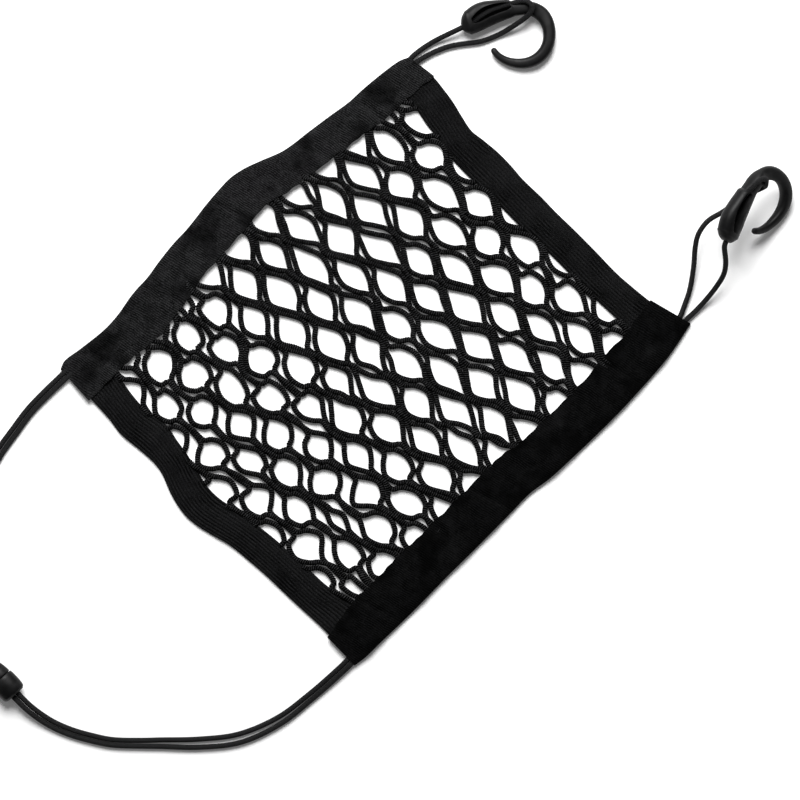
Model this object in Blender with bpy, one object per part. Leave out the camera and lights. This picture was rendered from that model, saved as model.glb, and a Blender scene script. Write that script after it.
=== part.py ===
# An elastic cargo net lying flat: diamond net, two folded casings, two ribbed elastics,
# draw-cord loops with a hook at one end and a cord lock at the other.
# Tables are in millimetres in the plan of the laid-out net: X along the casings, Y towards
# the upper casing. Z is height over the surface that it lies on.
import math

import bpy
import bmesh
from mathutils import Matrix, Vector
from mathutils.geometry import delaunay_2d_cdt

MM = 0.001
GAP = 0.3                   # air between neighbouring pieces
PLAN_CENTRE = (-0.8, 3.35)  # middle of the cloth in the plan, which becomes the origin

# Casings: a tape folded over the net's edge, with a slot along its inner side
SLOT_DEPTH = 9.0
TUCK = 7.0                  # how far the net and the elastics reach into the slot
SLOT_LOW = 0.95
SLOT_HIGH = 3.75
SLOT_MIDDLE = (SLOT_LOW + SLOT_HIGH) / 2
CORD_CROWN_AT = 5.0         # the draw cord's swelling, from the outer edge

ELASTIC_THICKNESS = 2.0
ELASTIC_RIBS = 9
RIB_HEIGHT = 0.35

NET_RIDGE = 1.45            # half thickness at a crossing of cords
NET_LEG = 1.25              # half thickness along a leg's middle
NET_SIDE = 0.75             # half thickness at an opening's edge
NET_TUCKED = 0.9            # half thickness inside a casing
NET_REST = 1.5              # height of the net's middle plane over the surface
NET_RISE = 26.0             # distance over which it climbs into a casing
EDGE_STRAND = 1.6           # cord left between an opening and an elastic
UNDER_JAW = 1.5             # how far an opening runs in under a casing

CORD_RADIUS = 1.6
CORD_STEP = 2.8 * 2 * CORD_RADIUS
LOCK_BORE = (3.8, 2.0)      # half width and half height of the lock's oval bore

HOOK_RING = (33.5, -17.5)   # centre of the C, along and across the hook's body
HOOK_SQUARENESS = 0.75      # 1 is an ellipse, less is squarer

# outer x, outer y, inner x, inner y, height; the low rows are creases across the tape
UPPER_CASING = [
    (-147.3, 121.3, -147.5, 95.2, 4.7),
    (-142.0, 123.4, -142.0, 95.3, 5.3),
    (-130.0, 122.2, -130.0, 96.0, 5.7),
    (-112.0, 121.0, -112.0, 97.0, 5.5),
    (-100.0, 122.1, -100.0, 95.7, 5.4),
    (-88.0, 124.8, -88.0, 95.6, 5.6),
    (-81.0, 125.9, -81.0, 96.8, 4.9),
    (-72.0, 126.6, -72.0, 98.8, 5.7),
    (-60.0, 129.0, -60.0, 100.7, 5.4),
    (-47.0, 131.0, -47.0, 104.4, 5.7),
    (-35.0, 132.0, -35.0, 105.6, 5.4),
    (-25.0, 133.5, -25.0, 106.5, 5.6),
    (-18.0, 134.8, -18.0, 107.2, 4.9),
    (-8.0, 136.1, -8.0, 108.3, 5.7),
    (5.0, 137.1, 5.0, 110.0, 5.5),
    (15.0, 135.6, 15.0, 109.6, 5.6),
    (25.0, 132.5, 25.0, 107.2, 5.4),
    (40.0, 127.5, 40.0, 105.5, 5.7),
    (60.0, 125.5, 60.0, 104.0, 5.5),
    (75.0, 124.0, 75.0, 102.5, 5.3),
    (88.0, 122.5, 88.0, 101.2, 5.6),
    (100.0, 122.5, 100.0, 99.7, 5.4),
    (115.0, 121.7, 114.0, 100.0, 5.6),
    (127.0, 120.3, 127.0, 99.6, 5.5),
    (133.0, 118.0, 136.5, 99.2, 4.8),
]
LOWER_CASING = [
    (-137.3, -129.6, -137.8, -105.6, 4.8),
    (-129.0, -130.4, -127.0, -103.2, 5.5),
    (-115.0, -130.0, -112.0, -100.3, 5.6),
    (-98.0, -129.7, -98.0, -100.0, 4.9),
    (-84.0, -129.2, -84.0, -99.0, 5.6),
    (-72.0, -128.5, -72.0, -98.6, 5.0),
    (-60.0, -127.8, -60.0, -98.2, 5.7),
    (-48.0, -127.4, -48.0, -98.0, 5.5),
    (-34.0, -126.9, -34.0, -97.5, 4.9),
    (-20.0, -126.2, -20.0, -97.0, 5.7),
    (-5.0, -125.4, -5.0, -96.2, 5.0),
    (10.0, -124.6, 9.0, -95.6, 5.7),
    (25.0, -126.1, 25.0, -97.5, 5.5),
    (45.0, -126.1, 45.0, -97.5, 5.6),
    (65.0, -125.7, 65.0, -97.0, 5.4),
    (85.0, -124.8, 84.0, -95.8, 5.6),
    (100.0, -123.5, 99.0, -93.0, 5.4),
    (113.0, -122.2, 110.0, -93.0, 5.5),
    (126.0, -120.4, 122.0, -91.0, 5.6),
    (138.0, -117.7, 133.0, -89.0, 5.5),
    (149.8, -114.6, 141.5, -87.6, 4.9),
]

# outer x, outer y, inner x, inner y; the first and last rows lie in the casings' slots
HOOK_END_ELASTIC = [
    (134.4, 106.2, 114.5, 107.0),
    (135.9, 99.0, 115.0, 99.5),
    (135.5, 90.0, 115.0, 90.0),
    (134.5, 80.0, 113.5, 80.0),
    (132.5, 70.0, 113.0, 70.0),
    (131.0, 60.0, 111.0, 60.0),
    (132.4, 51.0, 110.8, 50.0),
    (134.0, 39.0, 111.2, 40.0),
    (134.3, 28.0, 112.2, 30.0),
    (134.0, 18.0, 113.0, 18.0),
    (135.0, 2.0, 113.5, 2.0),
    (135.3, -10.0, 114.0, -10.0),
    (136.3, -27.0, 115.7, -27.0),
    (137.0, -45.0, 116.5, -45.0),
    (137.4, -62.0, 117.3, -62.0),
    (139.0, -76.0, 118.5, -76.0),
    (140.6, -87.0, 119.4, -86.0),
    (142.3, -95.0, 121.0, -98.6),
]
LOOP_END_ELASTIC = [
    (-146.5, 102.3, -126.0, 103.0),
    (-146.0, 94.0, -126.0, 95.0),
    (-146.0, 80.0, -126.0, 80.0),
    (-147.0, 68.0, -126.0, 68.0),
    (-145.2, 54.0, -123.2, 54.0),
    (-144.0, 43.0, -124.8, 41.0),
    (-144.8, 34.0, -125.8, 32.0),
    (-149.4, 20.0, -128.2, 20.0),
    (-151.4, 7.0, -130.0, 8.0),
    (-150.5, -3.0, -129.2, -2.0),
    (-147.5, -14.0, -126.0, -14.0),
    (-144.0, -25.0, -124.0, -25.0),
    (-141.7, -40.0, -121.5, -40.0),
    (-140.0, -55.0, -120.0, -55.0),
    (-139.0, -70.0, -118.5, -70.0),
    (-137.8, -84.0, -117.0, -84.0),
    (-136.6, -97.0, -113.6, -96.0),
    (-136.2, -105.5, -112.3, -101.0),
    (-136.0, -112.3, -112.0, -107.2),
]

# The net's lattice. A cell stands where column plus row is even, and a crossing where it is odd
NET_COLUMNS = range(-11, 10)
NET_ROWS = range(-7, 6)
LATTICE_MIDDLE = (8.0, 24.0)  # where column 0 meets row 0 when the net hangs straight
COLUMN_PITCH = 12.2         # between columns halfway up the net
COLUMN_GATHER = 0.3         # the pitch that is lost at the casings
COLUMN_LEAN = 3.0           # how far a column leans on its way to a casing
ROW_PITCH = 20.4            # between rows
ROW_GATHER = 0.5            # the pitch that is lost at the elastics
MIDDLE_ROW = -1
ROWS_TO_CASING = 4
HALF_NET = 110.0            # from the net's middle to an elastic

CELL_ROWS = range(-6, 5)
CELL_COLUMNS = range(-10, 9)
CELL_SHARE = 0.58           # a cell's width as a share of two column pitches
CLOSED_CELLS = [(-6, 4), (8, 4), (-8, -4), (-10, -6)]
PART_CELLS = [(-11, -1), (-11, -3), (-11, -5)]  # partly under the loop-end elastic
# x, height of the cells there
CELL_HEIGHTS = [(-125, 19), (-60, 21), (0, 29), (50, 29), (115, 23)]

# Legs whose two cords stand apart: the lower crossing's column and row, and the side it leans to
OPEN_LEGS = [
    (-11, 2, 1), (-11, 0, 1), (-9, 0, 1), (-9, 0, -1), (-10, -3, 1), (-9, -4, 1), (-7, -4, 1),
    (-7, -2, 1), (-5, -4, -1), (-5, -4, 1), (-5, -2, 1), (-3, -2, 1), (8, -5, 1),
]
SLIT_SIZE = (4.4, 10.0)
# across and up, as shares of an opening's half width and half height
CELL_OUTLINE = [
    (0, 1), (-0.55, 0.55), (-1, 0.14), (-1, -0.14), (-0.55, -0.55),
    (0, -1), (0.55, -0.55), (1, -0.14), (1, 0.14), (0.55, 0.55),
]
SLIT_OUTLINE = [(0, 1), (-0.9, 0.4), (-0.9, -0.4), (0, -1), (0.9, -0.4), (0.9, 0.4)]

# Hook body: along, outer side, inner side, half height, from the cord's hole to the neck
HOOK_BODY = [
    (0.0, 0.6, -4.0, 2.9),
    (1.3, 3.6, -5.6, 4.1),
    (4.5, 6.5, -7.6, 5.2),
    (10.5, 8.6, -7.4, 5.6),
    (16.0, 8.9, -6.7, 5.6),
    (22.0, 7.8, -6.0, 5.5),
    (28.0, 6.3, -5.6, 5.2),
    (31.2, 5.4, -5.4, 5.0),
    (32.6, 3.5, -5.2, 4.8),
]
# C strip: turn in degrees, inner radius, outer radius, half width
HOOK_STRIP = [
    (80, 11.9, 20.0, 5.0), (68, 12.0, 20.2, 5.0), (57, 12.1, 20.5, 4.4), (46, 12.2, 20.7, 3.2),
    (32, 12.2, 20.8, 2.8), (15, 12.1, 20.3, 2.6), (-3, 12.0, 19.6, 2.6), (-21, 12.0, 19.3, 2.6),
    (-39, 12.3, 19.3, 2.6), (-57, 12.7, 19.5, 2.6), (-75, 13.1, 19.7, 2.6), (-93, 13.5, 19.9, 2.5),
    (-111, 14.0, 20.0, 2.4), (-128, 14.9, 20.3, 2.3), (-144, 16.3, 21.0, 2.1),
    (-157, 17.5, 21.5, 1.9), (-166, 18.3, 21.6, 1.6), (-171, 19.2, 21.1, 1.0),
]
# Pocket in the hook's top: along, outer side, inner side
HOOK_POCKET = [
    (6.5, 1.2, -1.8), (9.0, 3.0, -2.2), (13.0, 4.9, -2.0), (18.0, 5.8, -1.2),
    (24.0, 5.4, -0.6), (29.0, 4.4, -0.4), (31.5, 3.6, 0.4),
]
POCKET_FLOOR = -2.6
POCKET_TOP = 12.0
# Cord through a hook: along, across, up. It leaves over the neck and turns back outside
HOOK_CORD = [
    (-2.6, -2.5, 0.0), (1.0, -2.0, 0.0), (6.0, -1.2, 0.0), (11.5, 0.6, 0.2),
    (18.0, 2.2, 0.4), (25.0, 2.6, 0.9), (30.5, 2.5, 2.2), (35.0, 2.4, 4.2),
    (39.3, 1.9, 5.7), (42.6, -0.2, 6.4), (43.3, -3.6, 6.2), (40.8, -6.6, 4.8),
]
CHANNEL_END = (38.4, -8.6, 2.0)

# hook: its cord hole's x, y and height, its body's direction and its roll, in degrees
UPPER_HOOK = (169.3, 111.0, 5.65, -24.7, 4.6)
LOWER_HOOK = (195.9, -90.1, 28.5, 21.8, 45.0)

# x, y, z of the free cord before and after each hook
UPPER_CORD_OUT = [(134.0, 116.5, 2.5), (141.0, 116.2, 2.2), (149.5, 114.8, 2.3), (157.5, 112.5, 4.0)]
UPPER_CORD_BACK = [
    (198.8, 87.8, 7.7), (192.6, 88.8, 5.6), (181.6, 91.4, 1.9), (171.2, 95.6, 1.9),
    (163.0, 101.3, 1.9), (155.0, 106.3, 1.9), (144.2, 110.4, 2.1), (134.8, 112.4, 2.5),
]
LOWER_CORD_OUT = [
    (149.3, -110.6, 2.5), (156.0, -110.6, 2.3), (164.0, -110.0, 3.4), (174.0, -108.4, 7.4),
    (183.5, -105.4, 13.2), (189.6, -101.9, 17.4), (192.9, -98.2, 21.2),
]
LOWER_CORD_BACK = [
    (235.9, -83.2, 22.6), (231.3, -81.7, 20.2), (225.9, -80.2, 19.1), (216.0, -78.6, 18.2),
    (206.9, -77.3, 17.4), (197.8, -75.5, 15.6), (188.5, -77.5, 12.8),
    (182.2, -81.9, 9.8), (173.8, -90.1, 6.0), (161.9, -99.5, 2.9), (155.0, -103.2, 2.2),
    (148.0, -106.7, 2.5),
]
# Loop of two strands: x, y, z of its middle, and the strands' distance apart
LOOP_CORD = [
    (-148.1, 116.3, 2.5, 3.6), (-163.0, 116.0, 2.0, 3.6), (-178.0, 115.0, 1.7, 3.6),
    (-192.6, 112.2, 1.7, 3.7), (-207.8, 109.0, 1.7, 3.8), (-225.0, 103.0, 1.7, 3.9),
    (-245.0, 94.0, 1.7, 3.9), (-263.0, 81.0, 1.7, 3.8), (-279.0, 64.0, 1.7, 3.7),
    (-290.0, 46.0, 2.4, 3.6), (-296.5, 31.0, 4.6, 3.6), (-298.5, 20.0, 6.5, 3.6),
    (-298.5, 8.0, 6.5, 3.6), (-298.5, -6.0, 6.5, 3.6), (-298.0, -17.3, 4.6, 3.6),
    (-295.0, -31.6, 2.2, 3.6), (-289.8, -43.7, 1.7, 3.6), (-283.0, -54.8, 1.7, 3.6),
    (-275.8, -64.7, 1.7, 3.6), (-262.5, -77.7, 1.7, 3.8), (-254.9, -84.6, 1.7, 4.2),
    (-237.2, -100.8, 1.7, 5.2), (-217.5, -114.8, 1.7, 5.4), (-192.5, -123.1, 1.7, 4.4),
    (-169.9, -125.1, 1.7, 3.7), (-153.0, -125.6, 2.0, 3.6), (-138.1, -125.4, 2.5, 3.6),
]

# Cord lock: y, half width, half height
LOCK_CENTRE = (-298.5, 6.5)
LOCK_BARREL = [
    (-4.7, 6.4, 4.9), (-3.4, 7.7, 6.1), (1.0, 8.0, 6.4), (6.0, 7.9, 6.3), (8.1, 7.4, 5.9),
]
LOCK_BUTTON = [
    (8.4, 7.0, 5.6), (11.5, 7.0, 5.6), (14.5, 6.5, 5.1), (16.6, 5.9, 4.4), (17.5, 5.2, 3.5),
]
ROUND_STEPS = 20


def placed(x, y, z):
    return Vector((x - PLAN_CENTRE[0], y - PLAN_CENTRE[1], z)) * MM


def between(table, value, key=0, column=1):
    rows = sorted(table, key=lambda row: row[key])
    value = min(max(value, rows[0][key]), rows[-1][key])
    for low, high in zip(rows, rows[1:]):
        if value <= high[key]:
            share = (value - low[key]) / (high[key] - low[key])
            return low[column] + (high[column] - low[column]) * share
    return rows[-1][column]


def make_material(name, color, roughness, specular=0.5):
    material = bpy.data.materials.new(name)
    material.use_nodes = True
    shader = material.node_tree.nodes["Principled BSDF"]
    shader.inputs["Base Color"].default_value = (*color, 1.0)
    shader.inputs["Roughness"].default_value = roughness
    shader.inputs["Metallic"].default_value = 0.0
    shader.inputs["Specular IOR Level"].default_value = specular
    return material


def make_object(name, mesh, material):
    mesh.materials.append(material)
    obj = bpy.data.objects.new(name, mesh)
    bpy.context.scene.collection.objects.link(obj)
    return obj


# A closed skin over a row of outlines with the same number of points
def loft(name, rings):
    body = bmesh.new()
    loops = [[body.verts.new(point) for point in ring] for ring in rings]
    count = len(rings[0])
    for first, second in zip(loops, loops[1:]):
        for index in range(count):
            after = (index + 1) % count
            body.faces.new((first[index], first[after], second[after], second[index]))
    body.faces.new(list(reversed(loops[0])))
    body.faces.new(loops[-1])
    bmesh.ops.recalc_face_normals(body, faces=body.faces)
    mesh = bpy.data.meshes.new(name)
    body.to_mesh(mesh)
    body.free()
    mesh.shade_smooth()
    mesh.set_sharp_from_angle(angle=math.radians(38))
    return mesh


# Casings

def casing_outline(depth, height):
    slot_end = depth - SLOT_DEPTH
    return [
        (1.3, 0.0), (depth - 0.5, 0.0), (depth, 0.4), (depth - 0.1, SLOT_LOW),
        (slot_end, SLOT_LOW), (slot_end, SLOT_HIGH), (depth - 0.1, SLOT_HIGH),
        (depth, SLOT_HIGH + 0.5), (depth - 0.8, SLOT_HIGH + 0.95),
        (depth - 7.5, SLOT_HIGH + 0.85), (CORD_CROWN_AT + 5.5, height - 0.6),
        (CORD_CROWN_AT + 1.5, height), (CORD_CROWN_AT - 2.0, height - 0.2),
        (0.9, height * 0.72), (0.0, height * 0.45), (0.3, height * 0.16),
    ]


def make_casing(name, rows, material):
    rings = []
    for outer_x, outer_y, inner_x, inner_y, height in rows:
        outer = Vector((outer_x, outer_y))
        across = Vector((inner_x, inner_y)) - outer
        depth = across.length
        across.normalize()
        ring = []
        for inward, z in casing_outline(depth, height):
            spot = outer + across * inward
            ring.append(placed(spot.x, spot.y, z))
        rings.append(ring)
    return make_object(name, loft(name, rings), material)


# Elastics

def inner_casing_edge(x, upper):
    rows = UPPER_CASING if upper else LOWER_CASING
    return between(rows, x, key=2, column=3)


def cloth_height(x, y):
    to_upper = inner_casing_edge(x, True) - y
    to_lower = y - inner_casing_edge(x, False)
    away = min(max(min(to_upper, to_lower) / NET_RISE, 0.0), 1.0)
    eased = away * away * (3 - 2 * away)
    return SLOT_MIDDLE + (NET_REST - SLOT_MIDDLE) * eased


def make_elastic(name, rows, material):
    half = ELASTIC_THICKNESS / 2
    rings = []
    for outer_x, outer_y, inner_x, inner_y in rows:
        outer = Vector((outer_x, outer_y))
        across = Vector((inner_x, inner_y)) - outer
        height = cloth_height((outer_x + inner_x) / 2, (outer_y + inner_y) / 2)
        height = max(height, half + 0.2)
        ring = []
        for share in (0.0, 0.33, 0.67, 1.0):
            spot = outer + across * share
            ring.append(placed(spot.x, spot.y, height - half))
        for step in range(2 * ELASTIC_RIBS, -1, -1):
            spot = outer + across * (step / (2 * ELASTIC_RIBS))
            rib = RIB_HEIGHT if step % 2 else 0.0
            ring.append(placed(spot.x, spot.y, height + half - RIB_HEIGHT + rib))
        rings.append(ring)
    return make_object(name, loft(name, rings), material)


# Net

def lattice_point(column, row):
    up = (MIDDLE_ROW - row) / ROWS_TO_CASING
    x = LATTICE_MIDDLE[0] + COLUMN_LEAN * up + column * (COLUMN_PITCH - COLUMN_GATHER * up * up)
    out = x / HALF_NET
    return Vector((x, LATTICE_MIDDLE[1] + out + row * (ROW_PITCH - ROW_GATHER * out * out)))


def net_left(y):
    return between(LOOP_END_ELASTIC, y, key=3, column=2) + GAP


def net_right(y):
    return between(HOOK_END_ELASTIC, y, key=3, column=2) - GAP


def cell_size(column, row):
    spacing = lattice_point(column + 1, row).x - lattice_point(column - 1, row).x
    height = between(CELL_HEIGHTS, lattice_point(column, row).x)
    return CELL_SHARE * spacing / 2, height / 2


def cell_sizes():
    return {(column, row): cell_size(column, row) for column in CELL_COLUMNS for row in CELL_ROWS
            if (column + row) % 2 == 0 and (column, row) not in CLOSED_CELLS}


def clipped(points):
    kept = []
    for x, y in points:
        x = min(max(x, net_left(y) + EDGE_STRAND), net_right(y) - EDGE_STRAND)
        y = min(y, inner_casing_edge(x, True) + UNDER_JAW)
        y = max(y, inner_casing_edge(x, False) - UNDER_JAW)
        spot = Vector((x, y))
        if not kept or (spot - kept[-1]).length > 0.4:
            kept.append(spot)
    if (kept[0] - kept[-1]).length < 0.4:
        kept.pop()
    return kept


def area_of(points):
    pairs = zip(points, points[1:] + points[:1])
    return sum(a.x * b.y - b.x * a.y for a, b in pairs) / 2


def net_openings(sizes):
    openings = []
    for cell in [*sizes, *PART_CELLS]:
        middle = lattice_point(*cell)
        half_width, half_height = cell_size(*cell)
        openings.append([(middle.x + half_width * u, middle.y + half_height * v)
                         for u, v in CELL_OUTLINE])
    for column, row, side in OPEN_LEGS:
        low, high = lattice_point(column, row), lattice_point(column + side, row + 1)
        middle, along = (low + high) / 2, (high - low).normalized()
        width, length = SLIT_SIZE
        openings.append([middle + Vector((along.y, -along.x)) * (u * width / 2)
                         + along * (v * length / 2) for u, v in SLIT_OUTLINE])
    openings = [clipped(points) for points in openings]
    return [points for points in openings if len(points) > 3 and area_of(points) > 20]


def net_border():
    border = [Vector((row[2] + GAP, row[3])) for row in reversed(LOOP_END_ELASTIC)]
    for x in range(-117, 113, 9):
        border.append(Vector((x, inner_casing_edge(x, True) + TUCK)))
    border += [Vector((row[2] - GAP, row[3])) for row in HOOK_END_ELASTIC]
    for x in range(112, -107, -9):
        border.append(Vector((x, inner_casing_edge(x, False) - TUCK)))
    return border[::-1]


# Crossing points between four cells, and the middles of the legs that join them
def net_ridges(sizes):
    crossings = {}
    for column in NET_COLUMNS:
        for row in NET_ROWS:
            if (column + row) % 2:
                sides = []
                for across, up in ((1, 0), (-1, 0), (0, 1), (0, -1)):
                    beside = (column + across, row + up)
                    if beside in sizes:
                        half = sizes[beside]
                        offset = Vector((across * half[0], up * half[1]))
                        sides.append(lattice_point(*beside) - offset)
                if len(sides) == 4:
                    crossings[column, row] = sum(sides, Vector((0, 0))) / 4
    legs = []
    for (column, row), crossing in crossings.items():
        for across in (1, -1):
            above = (column + across, row + 1)
            if above in crossings:
                near, far = (column, row + 1), (column + across, row)
                reach = Vector((across * 0.55 * sizes[near][0], -0.55 * sizes[near][1]))
                back = Vector((across * 0.55 * sizes[far][0], -0.55 * sizes[far][1]))
                middle = (lattice_point(*near) + reach + lattice_point(*far) - back) / 2
                if (column, row, across) not in OPEN_LEGS:
                    legs.append((crossing, middle, crossings[above]))
    return legs


def inside(point, outline):
    crossed = False
    for a, b in zip(outline, outline[1:] + outline[:1]):
        if (a.y > point.y) != (b.y > point.y):
            if point.x < a.x + (b.x - a.x) * (point.y - a.y) / (b.y - a.y):
                crossed = not crossed
    return crossed


def net_plan():
    sizes = cell_sizes()
    border = net_border()
    openings = net_openings(sizes)
    points, edges, heights = [], [], []

    def add_loop(outline, half):
        first = len(points)
        points.extend(outline)
        heights.extend([half] * len(outline))
        for step in range(len(outline)):
            edges.append((first + step, first + (step + 1) % len(outline)))

    add_loop(border, NET_TUCKED)
    for outline in openings:
        add_loop(outline, NET_SIDE)
    known = {}
    for crossing, middle, above in net_ridges(sizes):
        chain = []
        for spot, half in ((crossing, NET_RIDGE), (middle, NET_LEG), (above, NET_RIDGE)):
            key = (round(spot.x, 3), round(spot.y, 3))
            if key not in known:
                known[key] = len(points)
                points.append(spot)
                heights.append(half)
            chain.append(known[key])
        edges.extend(zip(chain, chain[1:]))
    flat, _, faces, sources, _, _ = delaunay_2d_cdt(points, edges, [], 0, 1e-4, True)
    halves = [heights[source[0]] if source else NET_SIDE for source in sources]
    kept = []
    for face in faces:
        centre = sum((flat[index] for index in face), Vector((0, 0))) / len(face)
        if inside(centre, border) and not any(inside(centre, hole) for hole in openings):
            kept.append(face)
    return flat, halves, kept


def make_net(material):
    flat, halves, faces = net_plan()
    used = sorted({index for face in faces for index in face})
    body = bmesh.new()
    sides = {}
    for up in (1, -1):
        for index in used:
            x, y = flat[index]
            z = cloth_height(x, y) + up * halves[index]
            sides[index, up] = body.verts.new(placed(x, y, z))
    rim = set()
    for face in faces:
        if area_of([flat[index] for index in face]) < 0:
            face = face[::-1]
        body.faces.new([sides[index, 1] for index in face])
        body.faces.new([sides[index, -1] for index in reversed(face)])
        for a, b in zip(face, face[1:] + face[:1]):
            if (b, a) in rim:
                rim.remove((b, a))
            else:
                rim.add((a, b))
    for a, b in sorted(rim):
        body.faces.new((sides[b, 1], sides[a, 1], sides[a, -1], sides[b, -1]))
    mesh = bpy.data.meshes.new("net")
    body.to_mesh(mesh)
    body.free()
    mesh.shade_smooth()
    mesh.set_sharp_from_angle(angle=math.radians(60))
    return make_object("net", mesh, material)


# Cords

# Points along a smooth curve through a route, close enough together for its bends
def smooth_route(route, step):
    padded = [2 * route[0] - route[1], *route, 2 * route[-1] - route[-2]]
    points = [route[0]]
    for p0, p1, p2, p3 in zip(padded, padded[1:], padded[2:], padded[3:]):
        t1 = math.sqrt((p1 - p0).length)
        t2 = t1 + math.sqrt((p2 - p1).length)
        t3 = t2 + math.sqrt((p3 - p2).length)
        pieces = max(1, math.ceil((p2 - p1).length / step))
        for piece in range(1, pieces + 1):
            t = t1 + (t2 - t1) * piece / pieces
            early = p0.lerp(p1, t / t1)
            middle = p1.lerp(p2, (t - t1) / (t2 - t1))
            late = p2.lerp(p3, (t - t2) / (t3 - t2))
            first = early.lerp(middle, t / t2)
            second = middle.lerp(late, (t - t1) / (t3 - t1))
            points.append(first.lerp(second, (t - t1) / (t2 - t1)))
    return points


def make_cord_curve(name, points, radius):
    curve = bpy.data.curves.new(name, "CURVE")
    curve.dimensions = "3D"
    curve.bevel_depth = radius
    curve.bevel_resolution = 2
    curve.use_fill_caps = True
    spline = curve.splines.new("POLY")
    spline.points.add(len(points) - 1)
    for spot, point in zip(spline.points, points):
        spot.co = (*point, 1.0)
    return curve


def make_cord(name, route, material):
    floor = (CORD_RADIUS + 0.05) * MM
    points = smooth_route(route, CORD_STEP * MM)
    points = [Vector((p.x, p.y, max(p.z, floor))) for p in points]
    curve = make_cord_curve(name, points, CORD_RADIUS * MM)
    return make_object(name, curve, material)


def loop_strand(side):
    middle = [Vector(row[:2]) for row in LOOP_CORD]
    route = []
    for index, (x, y, z, apart) in enumerate(LOOP_CORD):
        ahead = middle[min(index + 1, len(middle) - 1)] - middle[max(index - 1, 0)]
        sideways = Vector((-ahead.y, ahead.x)).normalized() * (side * apart / 2)
        route.append(placed(x + sideways.x, y + sideways.y, z))
    return route


# Hooks

def hook_matrix(hook):
    x, y, z, turn, roll = hook
    spin = Matrix.Rotation(math.radians(turn), 4, "Z")
    lean = Matrix.Rotation(math.radians(roll), 4, "X")
    return Matrix.Translation(placed(x, y, z)) @ spin @ lean


def hook_section(inner, outer, half_height):
    middle = (inner + outer) / 2
    reach = (outer - inner) / 2
    ring = []
    for step in range(12):
        turn = math.radians(30 * step + 15)
        across = math.copysign(abs(math.cos(turn)) ** HOOK_SQUARENESS, math.cos(turn))
        up = math.copysign(abs(math.sin(turn)) ** HOOK_SQUARENESS, math.sin(turn))
        spot = middle + reach * across
        ring.append(Vector((spot.x, spot.y, half_height * up)) * MM)
    return ring


def hook_mesh():
    rings = []
    for along, outer, inner, half_height in HOOK_BODY:
        rings.append(hook_section(Vector((along, inner)), Vector((along, outer)), half_height))
    centre = Vector(HOOK_RING)
    for degrees, inner_radius, outer_radius, half_width in HOOK_STRIP:
        turn = math.radians(degrees)
        outward = Vector((math.cos(turn), math.sin(turn)))
        rings.append(hook_section(centre + outward * inner_radius,
                                  centre + outward * outer_radius, half_width))
    return loft("hook", rings)


def hide_cutter(obj):
    obj.hide_render = True
    obj.hide_viewport = True
    obj.display_type = "WIRE"


def pocket_cutter(material):
    outline = [(along, outer) for along, outer, inner in HOOK_POCKET]
    outline += [(along, inner) for along, outer, inner in reversed(HOOK_POCKET)]
    rings = []
    for z in (POCKET_FLOOR, POCKET_TOP):
        rings.append([Vector((along, across, z)) * MM for along, across in outline])
    cutter = make_object("pocket_cutter", loft("pocket_cutter", rings), material)
    hide_cutter(cutter)
    return cutter


def channel_cutter(material):
    route = [Vector(row) * MM for row in (*HOOK_CORD, CHANNEL_END)]
    points = smooth_route(route, CORD_STEP * MM)
    curve = make_cord_curve("channel_curve", points, (CORD_RADIUS + 2 * GAP) * MM)
    guide = bpy.data.objects.new("channel_curve", curve)
    bpy.context.scene.collection.objects.link(guide)
    mesh = bpy.data.meshes.new_from_object(guide)
    bpy.data.objects.remove(guide)
    cutter = make_object("channel_cutter", mesh, material)
    hide_cutter(cutter)
    return cutter


def make_hooks(material):
    mesh = hook_mesh()
    mesh.materials.append(material)
    cutters = [pocket_cutter(material), channel_cutter(material)]
    for name, place in (("hook_upper", UPPER_HOOK), ("hook_lower", LOWER_HOOK)):
        hook = bpy.data.objects.new(name, mesh)
        bpy.context.scene.collection.objects.link(hook)
        hook.matrix_world = hook_matrix(place)
        for cutter in cutters:
            own = cutter.copy()
            bpy.context.scene.collection.objects.link(own)
            own.matrix_world = hook_matrix(place)
            hide_cutter(own)
            cut = hook.modifiers.new(cutter.name, "BOOLEAN")
            cut.operation = "DIFFERENCE"
            cut.object = own


def hook_route(hook, out, back):
    through = [hook_matrix(hook) @ (Vector(row) * MM) for row in HOOK_CORD]
    return [placed(*row) for row in out] + through + [placed(*row) for row in back]


# Cord lock

def make_lock_piece(name, rows, material):
    x, z = LOCK_CENTRE
    rings = []
    for y, half_width, half_height in rows:
        ring = []
        for step in range(ROUND_STEPS):
            turn = 2 * math.pi * (step + 0.5) / ROUND_STEPS
            ring.append(placed(x + half_width * math.cos(turn), y, z + half_height * math.sin(turn)))
        rings.append(ring)
    piece = make_object(name, loft(name, rings), material)
    bore = []
    straight = LOCK_BORE[0] - LOCK_BORE[1]
    for y in (rows[0][0] - 2, rows[-1][0] + 2):
        ring = []
        for side in (1, -1):
            for step in range(7):
                turn = math.radians(-90 + 30 * step)
                across = side * (straight + LOCK_BORE[1] * math.cos(turn))
                ring.append(placed(x + across, y, z + side * LOCK_BORE[1] * math.sin(turn)))
        bore.append(ring)
    cutter = make_object(name + "_bore", loft(name + "_bore", bore), material)
    hide_cutter(cutter)
    cut = piece.modifiers.new("bore", "BOOLEAN")
    cut.operation = "DIFFERENCE"
    cut.object = cutter
    return piece


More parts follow.
